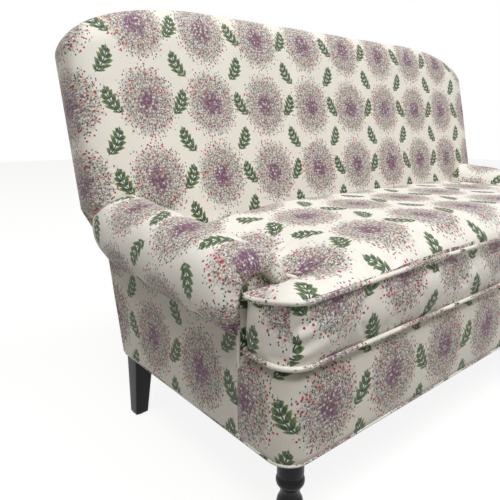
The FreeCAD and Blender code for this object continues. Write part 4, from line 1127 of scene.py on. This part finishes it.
def square_leg(side):
    """Rounded square at each height: its inner and front faces draw in towards the foot, whose last
    two rows are chamfered by 1.5 mm."""
    z = np.concatenate([[GLIDE_TOP, 0.0045], np.linspace(0.006, LEG_TOP, 20)])[:, None]
    full = 0.034 + 0.016 * (z - GLIDE_TOP) / (LEG_TOP - GLIDE_TOP)
    wide = full - 0.003 * (z < 0.004) - 0.001 * ((z > 0.004) & (z < 0.005))
    corner = 0.0035
    reach = wide / 2 - corner
    angle = np.linspace(0, 2 * math.pi, 57)[None] + 0.001
    round_x, round_y = (corner * wave + reach * np.clip(1.9 * wave, -1, 1)
                        for wave in (np.cos(angle), np.sin(angle)))
    points = np.stack([side * (0.814 - full / 2) + round_x, 0.202 - wide / 2 + round_y, z + 0 * angle], -1)
    points[:, -1] = points[:, 0]
    return closed_tube(points, np.stack([wide * angle / 1.6, z + 0 * angle], -1))


for name, side in SIDES:
    piece(f"{name}_turned_leg", turned_leg(side), EBONISED, (f"{name}_front_leg",), sharp=35)
    piece(f"{name}_square_leg", square_leg(side), EBONISED, (f"{name}_back_leg",), sharp=35)

# %% [markdown]
# ## Frame, floor and light
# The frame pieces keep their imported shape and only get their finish. The floor is white where it is
# seen and grey for the light that it gives back, and two wide soft lamps hang above in an even pale world.

# %% Finishes for the carried-over nodes
for name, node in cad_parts.items():
    finish = JUTE if "strap" in name else {"leg_bolts": STEEL, "leg_glides": NYLON}.get(name, BEECH)
    if node.hide_render:
        finish = LINEN
    for slot in node.material_slots:
        slot.material = finish
print("shown nodes:", sorted(name for name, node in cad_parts.items() if not node.hide_render))

# %% Floor, backdrop and lamps
floor_mesh = bpy.data.meshes.new("floor")
floor_mesh.from_pydata([(-9, -9, 0), (9, -9, 0), (9, 9, 0), (-9, 9, 0)], [], [(0, 1, 2, 3)])
floor = placed("floor", floor_mesh)
material, m, shader = new_finish("white_floor", 0.9, Base_Color=(0.38, 0.37, 0.36, 1), Specular_IOR_Level=0.0)
paths = m.tree.nodes.new("ShaderNodeLightPath")
glow = m.add("ShaderNodeEmission", {"Color": (1, 1, 1, 1), "Strength": 1.78})
seen = m.math("MAXIMUM", paths.outputs["Is Camera Ray"], paths.outputs["Is Glossy Ray"]) * 0.50
blend = m.add("ShaderNodeMixShader", {0: seen, 1: shader.outputs[0], 2: glow})
m.put(blend, m.tree.nodes["Material Output"].inputs["Surface"])
floor_mesh.materials.append(material)

world = bpy.data.worlds.new("studio")
bpy.context.scene.world = world
world.use_nodes = True
w = Maker(world.node_tree)
sky = world.node_tree.nodes["Background"]
paths = w.tree.nodes.new("ShaderNodeLightPath")
seen = w.math("MAXIMUM", paths.outputs["Is Glossy Ray"], paths.outputs["Is Transmission Ray"])
seen = w.math("MAXIMUM", paths.outputs["Is Camera Ray"], seen)
w.put(0.13 + seen * 0.87, sky.inputs["Strength"])
w.put(w.paint(seen, (1.0, 0.93, 0.82, 1.0), (1.0, 1.0, 1.0, 1.0)), sky.inputs["Color"])


def lamp(name, place, target, wide, power):
    """A square area lamp aimed at a point."""
    data = bpy.data.lights.new(name, "AREA")
    data.size = wide
    data.energy = power
    away = np.array(place) - np.array(target)
    tilt = math.acos(away[2] / np.linalg.norm(away))
    aimed = Matrix.Rotation(math.atan2(away[0], -away[1]), 4, "Z") @ Matrix.Rotation(tilt, 4, "X")
    placed(name, data).matrix_world = Matrix.Translation(place) @ aimed


lamp("window", (1.7, -2.9, 6.0), (-0.1, 0.0, 0.4), 3.6, 222)
lamp("skylight", (-2.4, -1.5, 5.8), (-0.3, 0.0, 0.4), 3.0, 190)
bpy.context.scene.view_settings.view_transform = "Standard"
